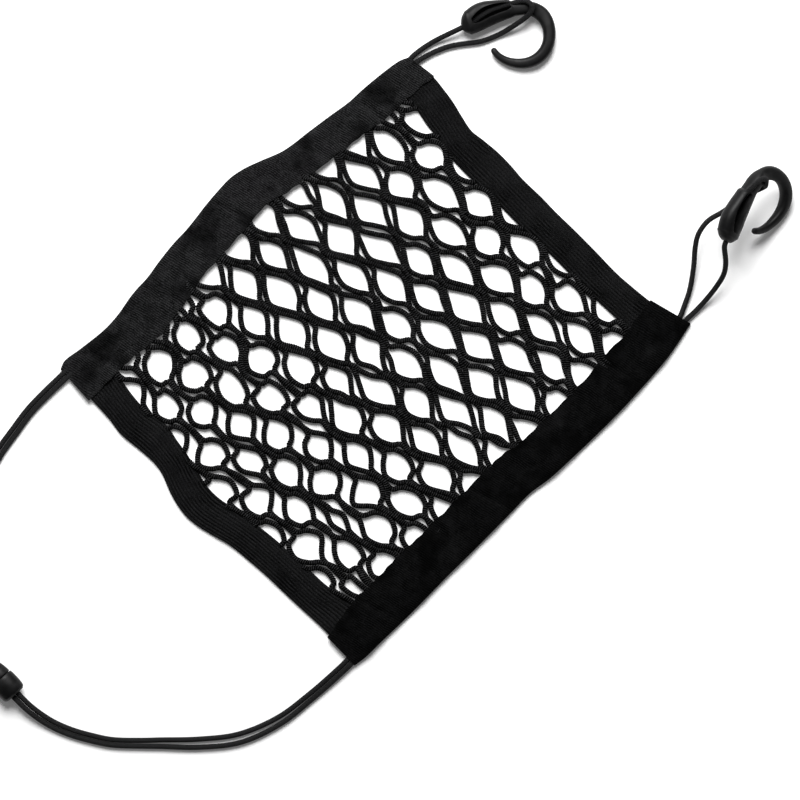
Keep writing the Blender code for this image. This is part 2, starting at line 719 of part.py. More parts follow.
def main():
    for obj in list(bpy.data.objects):
        bpy.data.objects.remove(obj)
    black = (0.017, 0.017, 0.019)
    tape = make_material("casing_tape", black, 0.9, 0.3)
    elastic = make_material("ribbed_elastic", (0.02, 0.02, 0.022), 0.85, 0.35)
    netting = make_material("net_cord", black, 0.85, 0.35)
    braid = make_material("draw_cord", (0.015, 0.015, 0.017), 0.75, 0.4)
    plastic = make_material("moulded_plastic", (0.022, 0.022, 0.024), 0.42)

    make_net(netting)
    make_casing("casing_upper", UPPER_CASING, tape)
    make_casing("casing_lower", LOWER_CASING, tape)
    make_elastic("elastic_hook_end", HOOK_END_ELASTIC, elastic)
    make_elastic("elastic_loop_end", LOOP_END_ELASTIC, elastic)
    make_hooks(plastic)
    make_cord("hook_cord_upper", hook_route(UPPER_HOOK, UPPER_CORD_OUT, UPPER_CORD_BACK), braid)
    make_cord("hook_cord_lower", hook_route(LOWER_HOOK, LOWER_CORD_OUT, LOWER_CORD_BACK), braid)
    make_cord("loop_cord_outer", loop_strand(-1), braid)
    make_cord("loop_cord_inner", loop_strand(1), braid)
    make_lock_piece("lock_barrel", LOCK_BARREL, plastic)
    make_lock_piece("lock_button", LOCK_BUTTON, plastic)


main()
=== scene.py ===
import math

import bmesh
import bpy
from mathutils import Matrix, Vector, noise


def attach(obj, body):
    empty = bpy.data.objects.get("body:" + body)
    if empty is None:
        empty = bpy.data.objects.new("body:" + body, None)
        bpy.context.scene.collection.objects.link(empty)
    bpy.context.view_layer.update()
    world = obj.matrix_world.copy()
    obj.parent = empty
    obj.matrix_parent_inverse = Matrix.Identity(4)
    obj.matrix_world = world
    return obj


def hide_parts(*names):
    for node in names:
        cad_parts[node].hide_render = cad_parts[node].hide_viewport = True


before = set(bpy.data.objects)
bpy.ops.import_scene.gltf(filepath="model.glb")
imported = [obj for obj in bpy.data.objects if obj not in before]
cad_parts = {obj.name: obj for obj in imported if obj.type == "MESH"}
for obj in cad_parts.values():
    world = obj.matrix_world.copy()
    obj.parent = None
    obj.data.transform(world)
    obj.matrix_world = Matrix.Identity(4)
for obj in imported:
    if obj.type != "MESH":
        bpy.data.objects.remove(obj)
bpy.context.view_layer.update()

# Plan tables are in millimetres on the laid-out net: x along the casings, y towards the upper
# casing, z above the floor. place() turns them into the frame's metres.
mm = 0.001
planCentre = (-0.8, 3.35)


def place(x, y, z=0.0):
    return Vector((x - planCentre[0], y - planCentre[1], z)) * mm


def clamp(value, low=0.0, high=1.0):
    return min(max(value, low), high)


def between(table, value, key=0, column=1):
    # reads one column of a table at a value of another
    rows = sorted(table, key=lambda row: row[key])
    value = clamp(value, rows[0][key], rows[-1][key])
    for low, high in zip(rows, rows[1:]):
        if value <= high[key]:
            share = (value - low[key]) / (high[key] - low[key])
            return low[column] + (high[column] - low[column]) * share
    return rows[-1][column]


def waver(x, y, z):
    return noise.noise(Vector((x, y, z)))


def smoothRoute(route, step):
    # a curve through every point of the route, with no overshoot at its bends
    ends = [2 * route[0] - route[1], *route, 2 * route[-1] - route[-2]]
    points = [route[0]]
    for p0, p1, p2, p3 in zip(ends, ends[1:], ends[2:], ends[3:]):
        t1 = math.sqrt((p1 - p0).length)
        t2 = t1 + math.sqrt((p2 - p1).length)
        t3 = t2 + math.sqrt((p3 - p2).length)
        pieces = max(1, math.ceil((p2 - p1).length / step))
        for piece in range(1, pieces + 1):
            t = t1 + (t2 - t1) * piece / pieces
            early = p0.lerp(p1, t / t1)
            middle = p1.lerp(p2, (t - t1) / (t2 - t1))
            late = p2.lerp(p3, (t - t2) / (t3 - t2))
            first, second = early.lerp(middle, t / t2), middle.lerp(late, (t - t1) / (t3 - t1))
            points.append(first.lerp(second, (t - t1) / (t2 - t1)))
    return points


def softened(points, rounds):
    for _ in range(rounds):
        points[1:-1] = [(a + 2 * b + c) / 4 for a, b, c in zip(points, points[1:], points[2:])]
    return points


def evenly(points, step):
    # the same line with its points at even steps
    lengths = [0.0]
    for a, b in zip(points, points[1:]):
        lengths.append(lengths[-1] + (b - a).length)
    pieces = max(2, round(lengths[-1] / step))
    made, index = [points[0]], 0
    for piece in range(1, pieces):
        want = lengths[-1] * piece / pieces
        while lengths[index + 1] < want:
            index += 1
        share = (want - lengths[index]) / max(lengths[index + 1] - lengths[index], 1e-9)
        made.append(points[index].lerp(points[index + 1], share))
    return made + [points[-1]]


def smoothRows(rows, step, key=0):
    # rows of a table at even steps, on a smooth curve through them
    rows = sorted(rows, key=lambda row: row[key])
    slopes = []
    for index in range(len(rows)):
        low, high = rows[max(index - 1, 0)], rows[min(index + 1, len(rows) - 1)]
        run = high[key] - low[key]
        slopes.append([(b - a) / run for a, b in zip(low, high)])
    made = []
    for index in range(len(rows) - 1):
        low, high = rows[index], rows[index + 1]
        run = high[key] - low[key]
        pieces = max(1, round(run / step))
        for piece in range(pieces):
            t = piece / pieces
            h0, h1 = 2 * t**3 - 3 * t**2 + 1, -2 * t**3 + 3 * t**2
            g0, g1 = (t**3 - 2 * t**2 + t) * run, (t**3 - t**2) * run
            made.append([h0 * a + h1 * b + g0 * u + g1 * v
                         for a, b, u, v in zip(low, high, slopes[index], slopes[index + 1])])
    made.append(list(rows[-1]))
    return made


def loose(name, body):
    mesh = bpy.data.meshes.new(name)
    body.to_mesh(mesh)
    body.free()
    piece = bpy.data.objects.new(name, mesh)
    bpy.context.scene.collection.objects.link(piece)
    return piece


def dress(piece, material, sharp):
    # sharp is the angle in degrees from which an edge stays crisp
    piece.data.materials.clear()
    piece.data.materials.append(material)
    piece.data.shade_smooth()
    piece.data.set_sharp_from_angle(angle=math.radians(sharp))
    return piece


def finishMesh(name, body, material, sharp=50):
    return dress(loose(name, body), material, sharp)


def joinRings(body, rings):
    for first, second in zip(rings, rings[1:]):
        for index in range(len(first)):
            after = (index + 1) % len(first)
            body.faces.new((first[index], first[after], second[after], second[index]))


def capEnds(body, rings):
    body.faces.new(rings[0][::-1])
    body.faces.new(rings[-1])


def addTube(body, lay, points, radius, sides, ridge=0.0, pitch=1.0):
    # a round cord along the points; lay keeps the turn around it and the length along it
    along = 0.0
    rings = []
    side = Vector((0, 0, 1))
    for index, point in enumerate(points):
        ahead = points[min(index + 1, len(points) - 1)] - points[max(index - 1, 0)]
        ahead.normalize()
        side = (side - ahead * side.dot(ahead)).normalized()
        other = ahead.cross(side)
        if index:
            along += (point - points[index - 1]).length / mm
        ring = []
        for turn in range(sides):
            angle = 2 * math.pi * (turn / sides + 0.25)
            thick = radius + ridge * math.cos(2 * math.pi * along / pitch + angle)
            spot = body.verts.new(point + (side * math.cos(angle) + other * math.sin(angle)) * thick)
            spot[lay] = (math.cos(angle), math.sin(angle), along)
            ring.append(spot)
        rings.append(ring)
    joinRings(body, rings)
    capEnds(body, rings)


def newBody():
    body = bmesh.new()
    return body, body.verts.layers.float_vector.new("lay")


# Shader groups that several finishes share

def newGroup(name, inputs, outputs):
    group = bpy.data.node_groups.new(name, "ShaderNodeTree")
    for label, kind, value in inputs:
        socket = group.interface.new_socket(label, in_out="INPUT", socket_type=kind)
        if value is not None:
            socket.default_value = value
    for label in outputs:
        group.interface.new_socket(label, in_out="OUTPUT", socket_type="NodeSocketFloat")
    return group, group.nodes.new("NodeGroupInput"), group.nodes.new("NodeGroupOutput")


def feed(tree, socket, value):
    # a plain number or colour is set on the socket itself, anything else is linked
    if isinstance(value, (int, float, tuple)):
        socket.default_value = value
    else:
        tree.links.new(value, socket)


def maths(tree, operation, *values):
    node = tree.nodes.new("ShaderNodeMath")
    node.operation = operation
    for socket, value in zip(node.inputs, values):
        feed(tree, socket, value)
    return node.outputs[0]


def times(tree, first, second):
    return maths(tree, "MULTIPLY", first, second)


def plus(tree, first, second):
    return maths(tree, "ADD", first, second)


def splitVector(tree, vector):
    node = tree.nodes.new("ShaderNodeSeparateXYZ")
    tree.links.new(vector, node.inputs[0])
    return node.outputs


def noiseAt(tree, vector, scale, detail=2.0, rough=0.5):
    node = tree.nodes.new("ShaderNodeTexNoise")
    tree.links.new(vector, node.inputs["Vector"])
    for label, value in (("Scale", scale), ("Detail", detail), ("Roughness", rough)):
        feed(tree, node.inputs[label], value)
    return node.outputs["Fac"]


def remap(tree, value, fromLow, fromHigh, toLow=0.0, toHigh=1.0):
    node = tree.nodes.new("ShaderNodeMapRange")
    node.interpolation_type = "SMOOTHSTEP"
    tree.links.new(value, node.inputs["Value"])
    for label, number in (("From Min", fromLow), ("From Max", fromHigh),
                          ("To Min", toLow), ("To Max", toHigh)):
        feed(tree, node.inputs[label], number)
    return node.outputs["Result"]


def makeFibreGroup():
    # loose fibre ends and the slow fading of dyed black cloth
    group, start, end = newGroup(
        "fibreAndFade",
        [("Spot", "NodeSocketVector", None), ("Fineness", "NodeSocketFloat", 900.0)],
        ["Fibre", "Fade"])
    fine = noiseAt(group, start.outputs["Spot"], start.outputs["Fineness"], 3.0, 0.65)
    fade = noiseAt(group, start.outputs["Spot"], 26.0, 3.0, 0.55)
    group.links.new(remap(group, fine, 0.3, 0.72), end.inputs["Fibre"])
    group.links.new(remap(group, fade, 0.32, 0.7), end.inputs["Fade"])
    return group


def makeLintGroup():
    # sparse pale specks of lint and a thin veil of dust
    group, start, end = newGroup(
        "lintAndDust",
        [("Spot", "NodeSocketVector", None), ("Specks", "NodeSocketFloat", 420.0),
         ("Amount", "NodeSocketFloat", 0.5)],
        ["Lint"])
    cells = group.nodes.new("ShaderNodeTexVoronoi")
    group.links.new(start.outputs["Spot"], cells.inputs["Vector"])
    group.links.new(start.outputs["Specks"], cells.inputs["Scale"])
    near = remap(group, cells.outputs["Distance"], 0.0, 0.16, 1.0, 0.0)
    chosen = maths(group, "GREATER_THAN", splitVector(group, cells.outputs["Color"])[0], 0.9)
    veil = remap(group, noiseAt(group, start.outputs["Spot"], 60.0, 4.0, 0.6), 0.5, 0.8, 0.0, 0.25)
    both = maths(group, "MAXIMUM", times(group, near, chosen), veil)
    group.links.new(times(group, both, start.outputs["Amount"]), end.inputs["Lint"])
    return group


def makeWrapGroup():
    # yarn wrapped round an elastic core: close slanting ridges
    group, start, end = newGroup(
        "wrappedYarn",
        [("Lay", "NodeSocketVector", None), ("Pitch", "NodeSocketFloat", 0.95)],
        ["Ridge", "Groove"])
    across, up, along = splitVector(group, start.outputs["Lay"])
    turn = maths(group, "DIVIDE", maths(group, "ARCTAN2", up, across), 2 * math.pi)
    wobble = times(group, noiseAt(group, start.outputs["Lay"], 0.35, 2.0), 0.4)
    phase = plus(group, maths(group, "DIVIDE", along, start.outputs["Pitch"]), turn)
    phase = plus(group, phase, wobble)
    wave = maths(group, "COSINE", times(group, phase, 2 * math.pi))
    ridge = plus(group, times(group, wave, 0.5), 0.5)
    strength = remap(group, noiseAt(group, start.outputs["Lay"], 0.6, 2.0), 0.3, 0.7, 0.45, 1.0)
    ridge = times(group, ridge, strength)
    group.links.new(ridge, end.inputs["Ridge"])
    # the Groove mask is where painted shade goes between the ridges
    group.links.new(remap(group, ridge, 0.12, 0.8, 1.0, 0.0), end.inputs["Groove"])
    return group


def makeBraidGroup():
    # two sets of yarns that cross two over, two under, for round and for flat braid
    group, start, end = newGroup(
        "crossedYarns",
        [("First", "NodeSocketFloat", 0.0), ("Second", "NodeSocketFloat", 0.0)],
        ["Height", "Gap"])
    first, second = start.outputs["First"], start.outputs["Second"]
    step = maths(group, "SUBTRACT", maths(group, "FLOOR", first), maths(group, "FLOOR", second))
    over = maths(group, "LESS_THAN", maths(group, "FLOORED_MODULO", step, 4.0), 2.0)
    crowns = []
    for value in (first, second):
        wave = maths(group, "SINE", times(group, maths(group, "FRACT", value), math.pi))
        crowns.append(maths(group, "POWER", wave, 0.6))
    chosen = plus(group, times(group, crowns[0], over),
                  times(group, crowns[1], maths(group, "SUBTRACT", 1.0, over)))
    group.links.new(chosen, end.inputs["Height"])
    # the Gap mask is where painted shade goes between crossing yarns
    group.links.new(remap(group, chosen, 0.0, 0.45, 1.0, 0.0), end.inputs["Gap"])
    return group


def makeGrainGroup():
    # fine satin grain and handling marks on moulded plastic
    group, start, end = newGroup(
        "mouldedGrain", [("Spot", "NodeSocketVector", None)], ["Grain", "Rubbed"])
    grain = noiseAt(group, start.outputs["Spot"], 2600.0, 2.0, 0.6)
    rubbed = noiseAt(group, start.outputs["Spot"], 160.0, 4.0, 0.6)
    group.links.new(grain, end.inputs["Grain"])
    group.links.new(remap(group, rubbed, 0.4, 0.7), end.inputs["Rubbed"])
    return group


groups = {
    "fibre": makeFibreGroup(), "lint": makeLintGroup(), "wrap": makeWrapGroup(),
    "braid": makeBraidGroup(), "grain": makeGrainGroup(),
}


def useGroup(tree, name, **values):
    node = tree.nodes.new("ShaderNodeGroup")
    node.node_tree = groups[name]
    for label, value in values.items():
        feed(tree, node.inputs[label], value)
    return node.outputs


def crossedYarns(tree, climb, around):
    return useGroup(tree, "braid", First=plus(tree, climb, around),
                    Second=maths(tree, "SUBTRACT", climb, around))


def newFinish(name):
    material = bpy.data.materials.new(name)
    material.use_nodes = True
    tree = material.node_tree
    spot = tree.nodes.new("ShaderNodeTexCoord").outputs["Object"]
    lay = tree.nodes.new("ShaderNodeAttribute")
    lay.attribute_name = "lay"
    return material, tree, tree.nodes["Principled BSDF"], spot, lay.outputs["Vector"]


def mixColour(tree, share, low, high):
    node = tree.nodes.new("ShaderNodeMix")
    node.data_type = "RGBA"
    tree.links.new(share, node.inputs["Factor"])
    for socket, value in ((node.inputs[6], low), (node.inputs[7], high)):
        feed(tree, socket, (*value, 1.0) if isinstance(value, tuple) else value)
    return node.outputs[2]


def bumpFrom(tree, shader, layers):
    # layers of (height, strength, distance in metres), each on the one before
    normal = None
    for height, strength, distance in layers:
        bump = tree.nodes.new("ShaderNodeBump")
        bump.inputs["Strength"].default_value = strength
        bump.inputs["Distance"].default_value = distance
        tree.links.new(height, bump.inputs["Height"])
        if normal is not None:
            tree.links.new(normal, bump.inputs["Normal"])
        normal = bump.outputs["Normal"]
    tree.links.new(normal, shader.inputs["Normal"])


def grey(value):
    return (value, value, value * 1.04)


def finishCloth(tree, shader, spot, relief, gap, look):
    # what every textile here shares: dye, fading, fibres, lint, and painted shade between the yarns
    fibre = useGroup(tree, "fibre", Spot=spot, Fineness=look["fineness"])
    lint = useGroup(tree, "lint", Spot=spot, Amount=look["lint"])
    dye = mixColour(tree, fibre["Fade"], look["dark"], look["faded"])
    yarn = mixColour(tree, times(tree, fibre["Fibre"], 0.6), dye, look["fibre"])
    # the gap mask mixes in the gapShade colour, painted shade between the yarns
    gapShade = mixColour(tree, gap, yarn, look["gapShade"])
    colour = mixColour(tree, lint["Lint"], gapShade, look["lintColour"])
    tree.links.new(colour, shader.inputs["Base Color"])
    tree.links.new(remap(tree, fibre["Fibre"], 0.0, 1.0, look["rough"] - 0.1, look["rough"] + 0.06),
                   shader.inputs["Roughness"])
    bumpFrom(tree, shader, [(relief, look["relief"], look["reliefDepth"] * mm),
                            (fibre["Fibre"], 0.35, 0.05 * mm)])
    shader.inputs["Specular IOR Level"].default_value = look["specular"]


netLook = {  # lengths in millimetres; pitch is one turn of the yarn round a cord
    "radius": 1.65, "pitch": 1.34, "ridge": 0.3, "step": 0.66, "sides": 6, "softening": 4,
    "rest": 1.6, "rise": 26.0, "tuck": 7.0, "endTuck": 1.4, "sink": 6.0, "waver": 0.12,
    "waverSize": 11, "close": 0.86, "thinSlit": 0.8, "openSlit": 3.4, "thinAbove": 0.12,
    "openAbove": 0.3, "tightening": 900, "beside": 0.55, "closer": 0.6, "wider": 0.9,
    "neckLow": 2.4, "neckHigh": 4.5, "neckFull": 2.9, "neckSpread": 2.6, "spreadShare": 0.55,
    "over": 1.3, "under": -0.1, "shoulder": 1.5, "shoulderLift": 0.35, "tipReach": 2.5,
    "raised": 0.5, "lying": 0.05,
}


def makeNetFinish():
    look = {"fineness": 1500.0, "lint": 0.15, "lintColour": grey(0.08), "dark": grey(0.001),
            "faded": grey(0.004), "fibre": grey(0.075), "gapShade": grey(0.0001), "rough": 0.85,
            "relief": 1.0, "reliefDepth": 0.7, "specular": 0.02}
    material, tree, shader, spot, lay = newFinish("netCord")
    wrap = useGroup(tree, "wrap", Lay=lay, Pitch=netLook["pitch"])
    # the wrap's grooves get painted shade
    finishCloth(tree, shader, spot, wrap["Ridge"], wrap["Groove"], look)
    return material


def makeDrawCordFinish():
    look = {"fineness": 1500.0, "lint": 0.15, "lintColour": grey(0.06), "dark": grey(0.004),
            "faded": grey(0.007), "fibre": grey(0.024), "gapShade": grey(0.0004), "rough": 0.7,
            "relief": 0.9, "reliefDepth": 0.3, "specular": 0.1,
            "yarns": 8.0, "yarnStep": 1.5}  # yarns each way round, millimetres from yarn to yarn
    material, tree, shader, spot, lay = newFinish("drawCord")
    across, up, along = splitVector(tree, lay)
    turn = maths(tree, "DIVIDE", maths(tree, "ARCTAN2", up, across), 2 * math.pi)
    around = times(tree, turn, look["yarns"])
    climb = maths(tree, "DIVIDE", along, look["yarnStep"])
    braid = crossedYarns(tree, climb, around)
    # the braid's gaps get painted shade
    finishCloth(tree, shader, spot, braid["Height"], braid["Gap"], look)
    return material


def makeTapeFinish(name, share):
    # share dims the dye and fibre colours as painted shade, since the lower tape lies in less light
    look = {"fineness": 1400.0, "lint": 0.35, "lintColour": grey(0.04),
            "dark": grey(0.0025 * share), "faded": grey(0.0085 * share),
            "fibre": grey(0.075 * share), "gapShade": grey(0.0003), "rough": 0.85,
            "relief": 1.0, "reliefDepth": 0.5, "specular": 0.02}
    twill = {"pitch": 1.31, "lean": math.radians(-75), "crossing": 0.8, "wander": 1.8}
    material, tree, shader, spot, lay = newFinish(name)
    x, y, _ = splitVector(tree, lay)
    c, s = math.cos(twill["lean"]), math.sin(twill["lean"])
    ribs = maths(tree, "SUBTRACT", times(tree, y, c / twill["pitch"]),
                 times(tree, x, s / twill["pitch"]))
    runs = plus(tree, times(tree, x, c / twill["crossing"]), times(tree, y, s / twill["crossing"]))
    wobble = times(tree, noiseAt(tree, lay, 0.12, 3.0), twill["wander"])
    ribs = plus(tree, ribs, wobble)
    wave = maths(tree, "SINE", times(tree, ribs, 2 * math.pi))
    yarn = maths(tree, "SINE", times(tree, plus(tree, runs, ribs), 2 * math.pi))
    height = plus(tree, times(tree, wave, 0.28), times(tree, yarn, 0.22))
    worn = remap(tree, noiseAt(tree, lay, 0.2, 3.0), 0.35, 0.68, 0.35, 1.15)
    height = plus(tree, times(tree, height, worn), 0.5)
    # the weave's low places get painted shade
    gap = remap(tree, height, 0.2, 0.75, 1.0, 0.0)
    # darker patches here are painted shade of shallow hollows in the tape
    hollowShade = remap(tree, noiseAt(tree, lay, 0.045, 1.0), 0.36, 0.56, 0.75, 0.0)
    gap = maths(tree, "MAXIMUM", gap, hollowShade)
    finishCloth(tree, shader, spot, height, gap, look)
    return material


def makeElasticFinish():
    look = {"fineness": 1600.0, "lint": 0.3, "lintColour": grey(0.04), "dark": grey(0.0012),
            "faded": grey(0.0038), "fibre": grey(0.028), "gapShade": grey(0.0002), "rough": 0.82,
            "relief": 1.0, "reliefDepth": 0.4, "specular": 0.02,
            "yarnStep": 1.3, "yarnWidth": 1.15, "wander": 1.1}
    material, tree, shader, spot, lay = newFinish("ribbedElastic")
    along, across, rib = splitVector(tree, lay)
    climb = maths(tree, "DIVIDE", along, look["yarnStep"])
    around = maths(tree, "DIVIDE", across, look["yarnWidth"])
    braid = crossedYarns(tree, climb, around)
    wander = times(tree, noiseAt(tree, lay, 0.16, 2.0), look["wander"])
    wave = maths(tree, "SINE", times(tree, plus(tree, rib, wander), math.pi))
    crown = maths(tree, "ABSOLUTE", wave)
    # the valleys between the ribs and the braid's gaps get painted shade, faded out in patches where
    # plain is low
    plain = remap(tree, noiseAt(tree, spot, 55.0, 2.0), 0.42, 0.62, 0.2, 1.0)
    ribValleyShade = times(tree, remap(tree, crown, 0.1, 0.85, 1.0, 0.0), plain)
    gap = maths(tree, "MAXIMUM", braid["Gap"], ribValleyShade)
    finishCloth(tree, shader, spot, braid["Height"], gap, look)
    return material


def makePlasticFinish(name, dark, worn, rough):
    material, tree, shader, spot, _ = newFinish(name)
    grain = useGroup(tree, "grain", Spot=spot)
    lint = useGroup(tree, "lint", Spot=spot, Amount=0.15)
    colour = mixColour(tree, times(tree, grain["Rubbed"], 0.7), dark, worn)
    colour = mixColour(tree, lint["Lint"], colour, (0.1, 0.1, 0.1))
    tree.links.new(colour, shader.inputs["Base Color"])
    tree.links.new(remap(tree, grain["Rubbed"], 0.0, 1.0, rough - 0.05, rough + 0.08),
                   shader.inputs["Roughness"])
    bumpFrom(tree, shader, [(grain["Grain"], 0.25, 0.06 * mm)])
    shader.inputs["Specular IOR Level"].default_value = 0.16
    return material


finishes = {
    "net": makeNetFinish(), "cord": makeDrawCordFinish(), "elastic": makeElasticFinish(),
    # the two tapes are lit and shaded copies of one finish: share sets their painted light level,
    # with painted shade on the lower tape
    "upperTape": makeTapeFinish("upperTape", 0.8),
    "lowerTape": makeTapeFinish("lowerTape", 0.18),
    "hook": makePlasticFinish("hookPlastic", grey(0.0035), grey(0.0065), 0.5),
    "lock": makePlasticFinish("lockPlastic", grey(0.003), grey(0.005), 0.45),
}
print("finishes made:", len(finishes))


# Camera straight above, turned as in the photograph
cameraView = {"height": 2.4, "field": 0.48, "sensor": 36.0, "turn": -42.5, "x": -0.0089,
              "y": -0.03355}

cameraData = bpy.data.cameras.new("camera")
cameraData.sensor_width = cameraView["sensor"]
cameraData.lens = cameraView["sensor"] * cameraView["height"] / cameraView["field"]
camera = bpy.data.objects.new("camera", cameraData)
camera.location = (cameraView["x"], cameraView["y"], cameraView["height"])
camera.rotation_euler = (0, 0, math.radians(cameraView["turn"]))
bpy.context.scene.collection.objects.link(camera)
bpy.context.scene.camera = camera


# Draw cord: a loop through each hook, and a long loop of two strands through the lock
cordLook = {"radius": 1.6, "step": 0.9, "sides": 16, "floorGap": 0.05, "softening": 5,
            "squeeze": 0.3}  # how much closer the loop's two strands lie than its table says

upperHook = (169.3, 111.0, 5.65, -24.7, 4.6)  # cord hole's x, y and height, direction, roll
lowerHook = (195.9, -90.1, 28.5, 21.8, 45.0)
hookCord = [
    (-2.6, -2.5, 0), (1, -2, 0), (6, -1.2, 0), (11.5, 0.6, 0.2), (18, 2.2, 0.4), (25, 2.6, 0.9),
    (30.5, 2.5, 2.2), (35, 2.4, 4.2), (39.3, 1.9, 5.7), (42.6, -0.2, 6.4), (43.3, -3.6, 6.2),
    (40.8, -6.6, 4.8),
]
upperCordOut = [
    (129.5, 115.6, 2.6), (134, 116.5, 2.5), (141, 116.2, 2.2), (149.5, 114.8, 2.3),
    (157.5, 112.5, 4),
]
upperCordBack = [
    (198.8, 87.8, 7.7), (192.6, 88.8, 5.6), (181.6, 91.4, 1.9), (171.2, 95.6, 1.9),
    (163, 101.3, 1.9), (155, 106.3, 1.9), (144.2, 110.4, 2.1), (134.8, 112.4, 2.5),
    (130, 112.3, 2.6),
]
lowerCordOut = [
    (144.8, -110.8, 2.6), (149.3, -110.6, 2.5), (156, -110.6, 2.3), (164, -110, 3.4),
    (174, -108.4, 7.4), (183.5, -105.4, 13.2), (188.3, -101.3, 17.6), (191.2, -97, 22.6),
]
lowerCordBack = [
    (235.9, -83.2, 22.6), (231.3, -81.7, 20.2), (225.9, -80.2, 19.1), (216, -78.6, 18.2),
    (206.9, -77.3, 17.4), (197.8, -75.5, 15.6), (188.5, -77.5, 12.8), (182.2, -81.9, 9.8),
    (173.8, -90.1, 6), (161.9, -99.5, 2.9), (155, -103.2, 2.2), (148, -106.7, 2.5),
    (144, -107.4, 2.6),
]
loopCord = [  # x, y, z of the loop's middle, and how far apart its strands lie
    (-143.5, 116.6, 2.6, 3.6), (-148.1, 116.3, 2.5, 3.6), (-163, 116, 2, 3.6),
    (-178, 115, 1.7, 3.6), (-192.6, 112.2, 1.7, 3.7), (-207.8, 109, 1.7, 3.8),
    (-225, 103, 1.7, 3.9), (-245, 94, 1.7, 3.9), (-263, 81, 1.7, 3.8), (-279, 64, 1.7, 3.7),
    (-290, 46, 2.4, 3.6), (-296.5, 31, 4.6, 3.6), (-298.5, 20, 6.5, 3.6), (-298.5, 8, 6.5, 3.6),
    (-298.5, -6, 6.5, 3.6), (-298, -17.3, 4.6, 3.6), (-295, -31.6, 2.2, 3.6),
    (-289.8, -43.7, 1.7, 3.6), (-283, -54.8, 1.7, 3.6), (-275.8, -64.7, 1.7, 3.6),
    (-262.5, -77.7, 1.7, 3.8), (-254.9, -84.6, 1.7, 4.2), (-237.2, -100.8, 1.7, 5.2),
    (-217.5, -114.8, 1.7, 5.4), (-192.5, -123.1, 1.7, 4.4), (-169.9, -125.1, 1.7, 3.7),
    (-153, -125.6, 2, 3.6), (-138.1, -125.4, 2.5, 3.6), (-133.8, -124.8, 2.6, 3.6),
]


def hookMatrix(hook):
    x, y, z, turn, roll = hook
    spin = Matrix.Rotation(math.radians(turn), 4, "Z")
    lean = Matrix.Rotation(math.radians(roll), 4, "X")
    return Matrix.Translation(place(x, y, z)) @ spin @ lean


def hookRoute(hook, out, back):
    through = [hookMatrix(hook) @ (Vector(row) * mm) for row in hookCord]
    return [place(*row) for row in out] + through + [place(*row) for row in back]


def loopStrand(side):
    middle = [Vector(row[:2]) for row in loopCord]
    route = []
    for index, (x, y, z, apart) in enumerate(loopCord):
        ahead = middle[min(index + 1, len(middle) - 1)] - middle[max(index - 1, 0)]
        sideways = Vector((-ahead.y, ahead.x)).normalized() * (
            side * (apart - cordLook["squeeze"]) / 2)
        route.append(place(x + sideways.x, y + sideways.y, z))
    return route


def makeCord(name, node, route):
    floor = (cordLook["radius"] + cordLook["floorGap"]) * mm
    path = softened(smoothRoute(route, cordLook["step"] * mm), cordLook["softening"])
    path = [Vector((p.x, p.y, max(p.z, floor))) for p in path]
    body, lay = newBody()
    addTube(body, lay, path, cordLook["radius"] * mm, cordLook["sides"])
    piece = finishMesh(name, body, finishes["cord"])
    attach(piece, "root")
    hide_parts(node)
    measured = sum((b - a).length for a, b in zip(path, path[1:]))
    print(name, "is", round(measured, 4), "m long")


# Hooks and lock: moulded plastic
hookLook = {"ring": (33.5, -17.5), "square": 0.75, "sides": 40, "step": 0.7, "pocketFloor": -2.6,
            "pocketTop": 12.0, "channel": 1.7, "parting": 0.12, "partingWidth": 0.12,
            "collarAt": 4.2, "collar": 0.35, "collarWidth": 0.7, "flatHalf": 2.6,
            "liftFrom": 45, "liftOver": 40, "tipRounding": ((0.86, 0.7), (0.5, 1.2))}
hookBody = [  # along, outer and inner side, half height
    (0, 0.6, -4, 2.9), (1.3, 3.6, -5.6, 4.1), (4.5, 6.5, -7.6, 5.2), (10.5, 8.6, -7.4, 5.6),
    (16, 8.9, -6.7, 5.6), (22, 7.8, -6, 5.5), (28, 6.3, -5.6, 5.2), (31.2, 5.4, -5.4, 5),
    (32.6, 3.5, -5.2, 4.8),
]
hookStrip = [  # degrees round the ring, inner and outer radius, half width
    (80, 11.9, 20, 5), (68, 12, 20.2, 5), (57, 12.1, 20.5, 4.4), (46, 12.2, 20.7, 3.2),
    (32, 12.2, 20.8, 3), (15, 12.1, 20.3, 3.2), (-3, 12, 19.6, 3.4), (-21, 12, 19.3, 3.6),
    (-39, 12.2, 19.4, 3.7), (-57, 12.5, 19.7, 3.7), (-75, 12.9, 19.9, 3.6), (-93, 13.4, 20, 3.3),
    (-111, 14, 20.1, 2.9), (-128, 14.9, 20.4, 2.5), (-144, 16.2, 21, 2.2),
    (-157, 17.3, 21.5, 2.1), (-166, 17.9, 21.7, 2), (-170, 18.1, 21.7, 1.9),
]
hookPocket = [  # along, outer and inner side of the slot
    (6.5, 1.2, -1.8), (9, 3, -2.2), (13, 4.9, -2), (18, 5.8, -1.2), (24, 5.4, -0.6),
    (29, 4.4, -0.4), (31.5, 3.6, 0.4),
]
channelEnd = (38.4, -8.6, 2.0)
edgeLook = {"round": 0.35, "from": 48, "crisp": 38}  # angles in degrees


def addLoft(body, rings):
    made = [[body.verts.new(spot) for spot in ring] for ring in rings]
    joinRings(body, made)
    capEnds(body, made)
    bmesh.ops.recalc_face_normals(body, faces=body.faces)


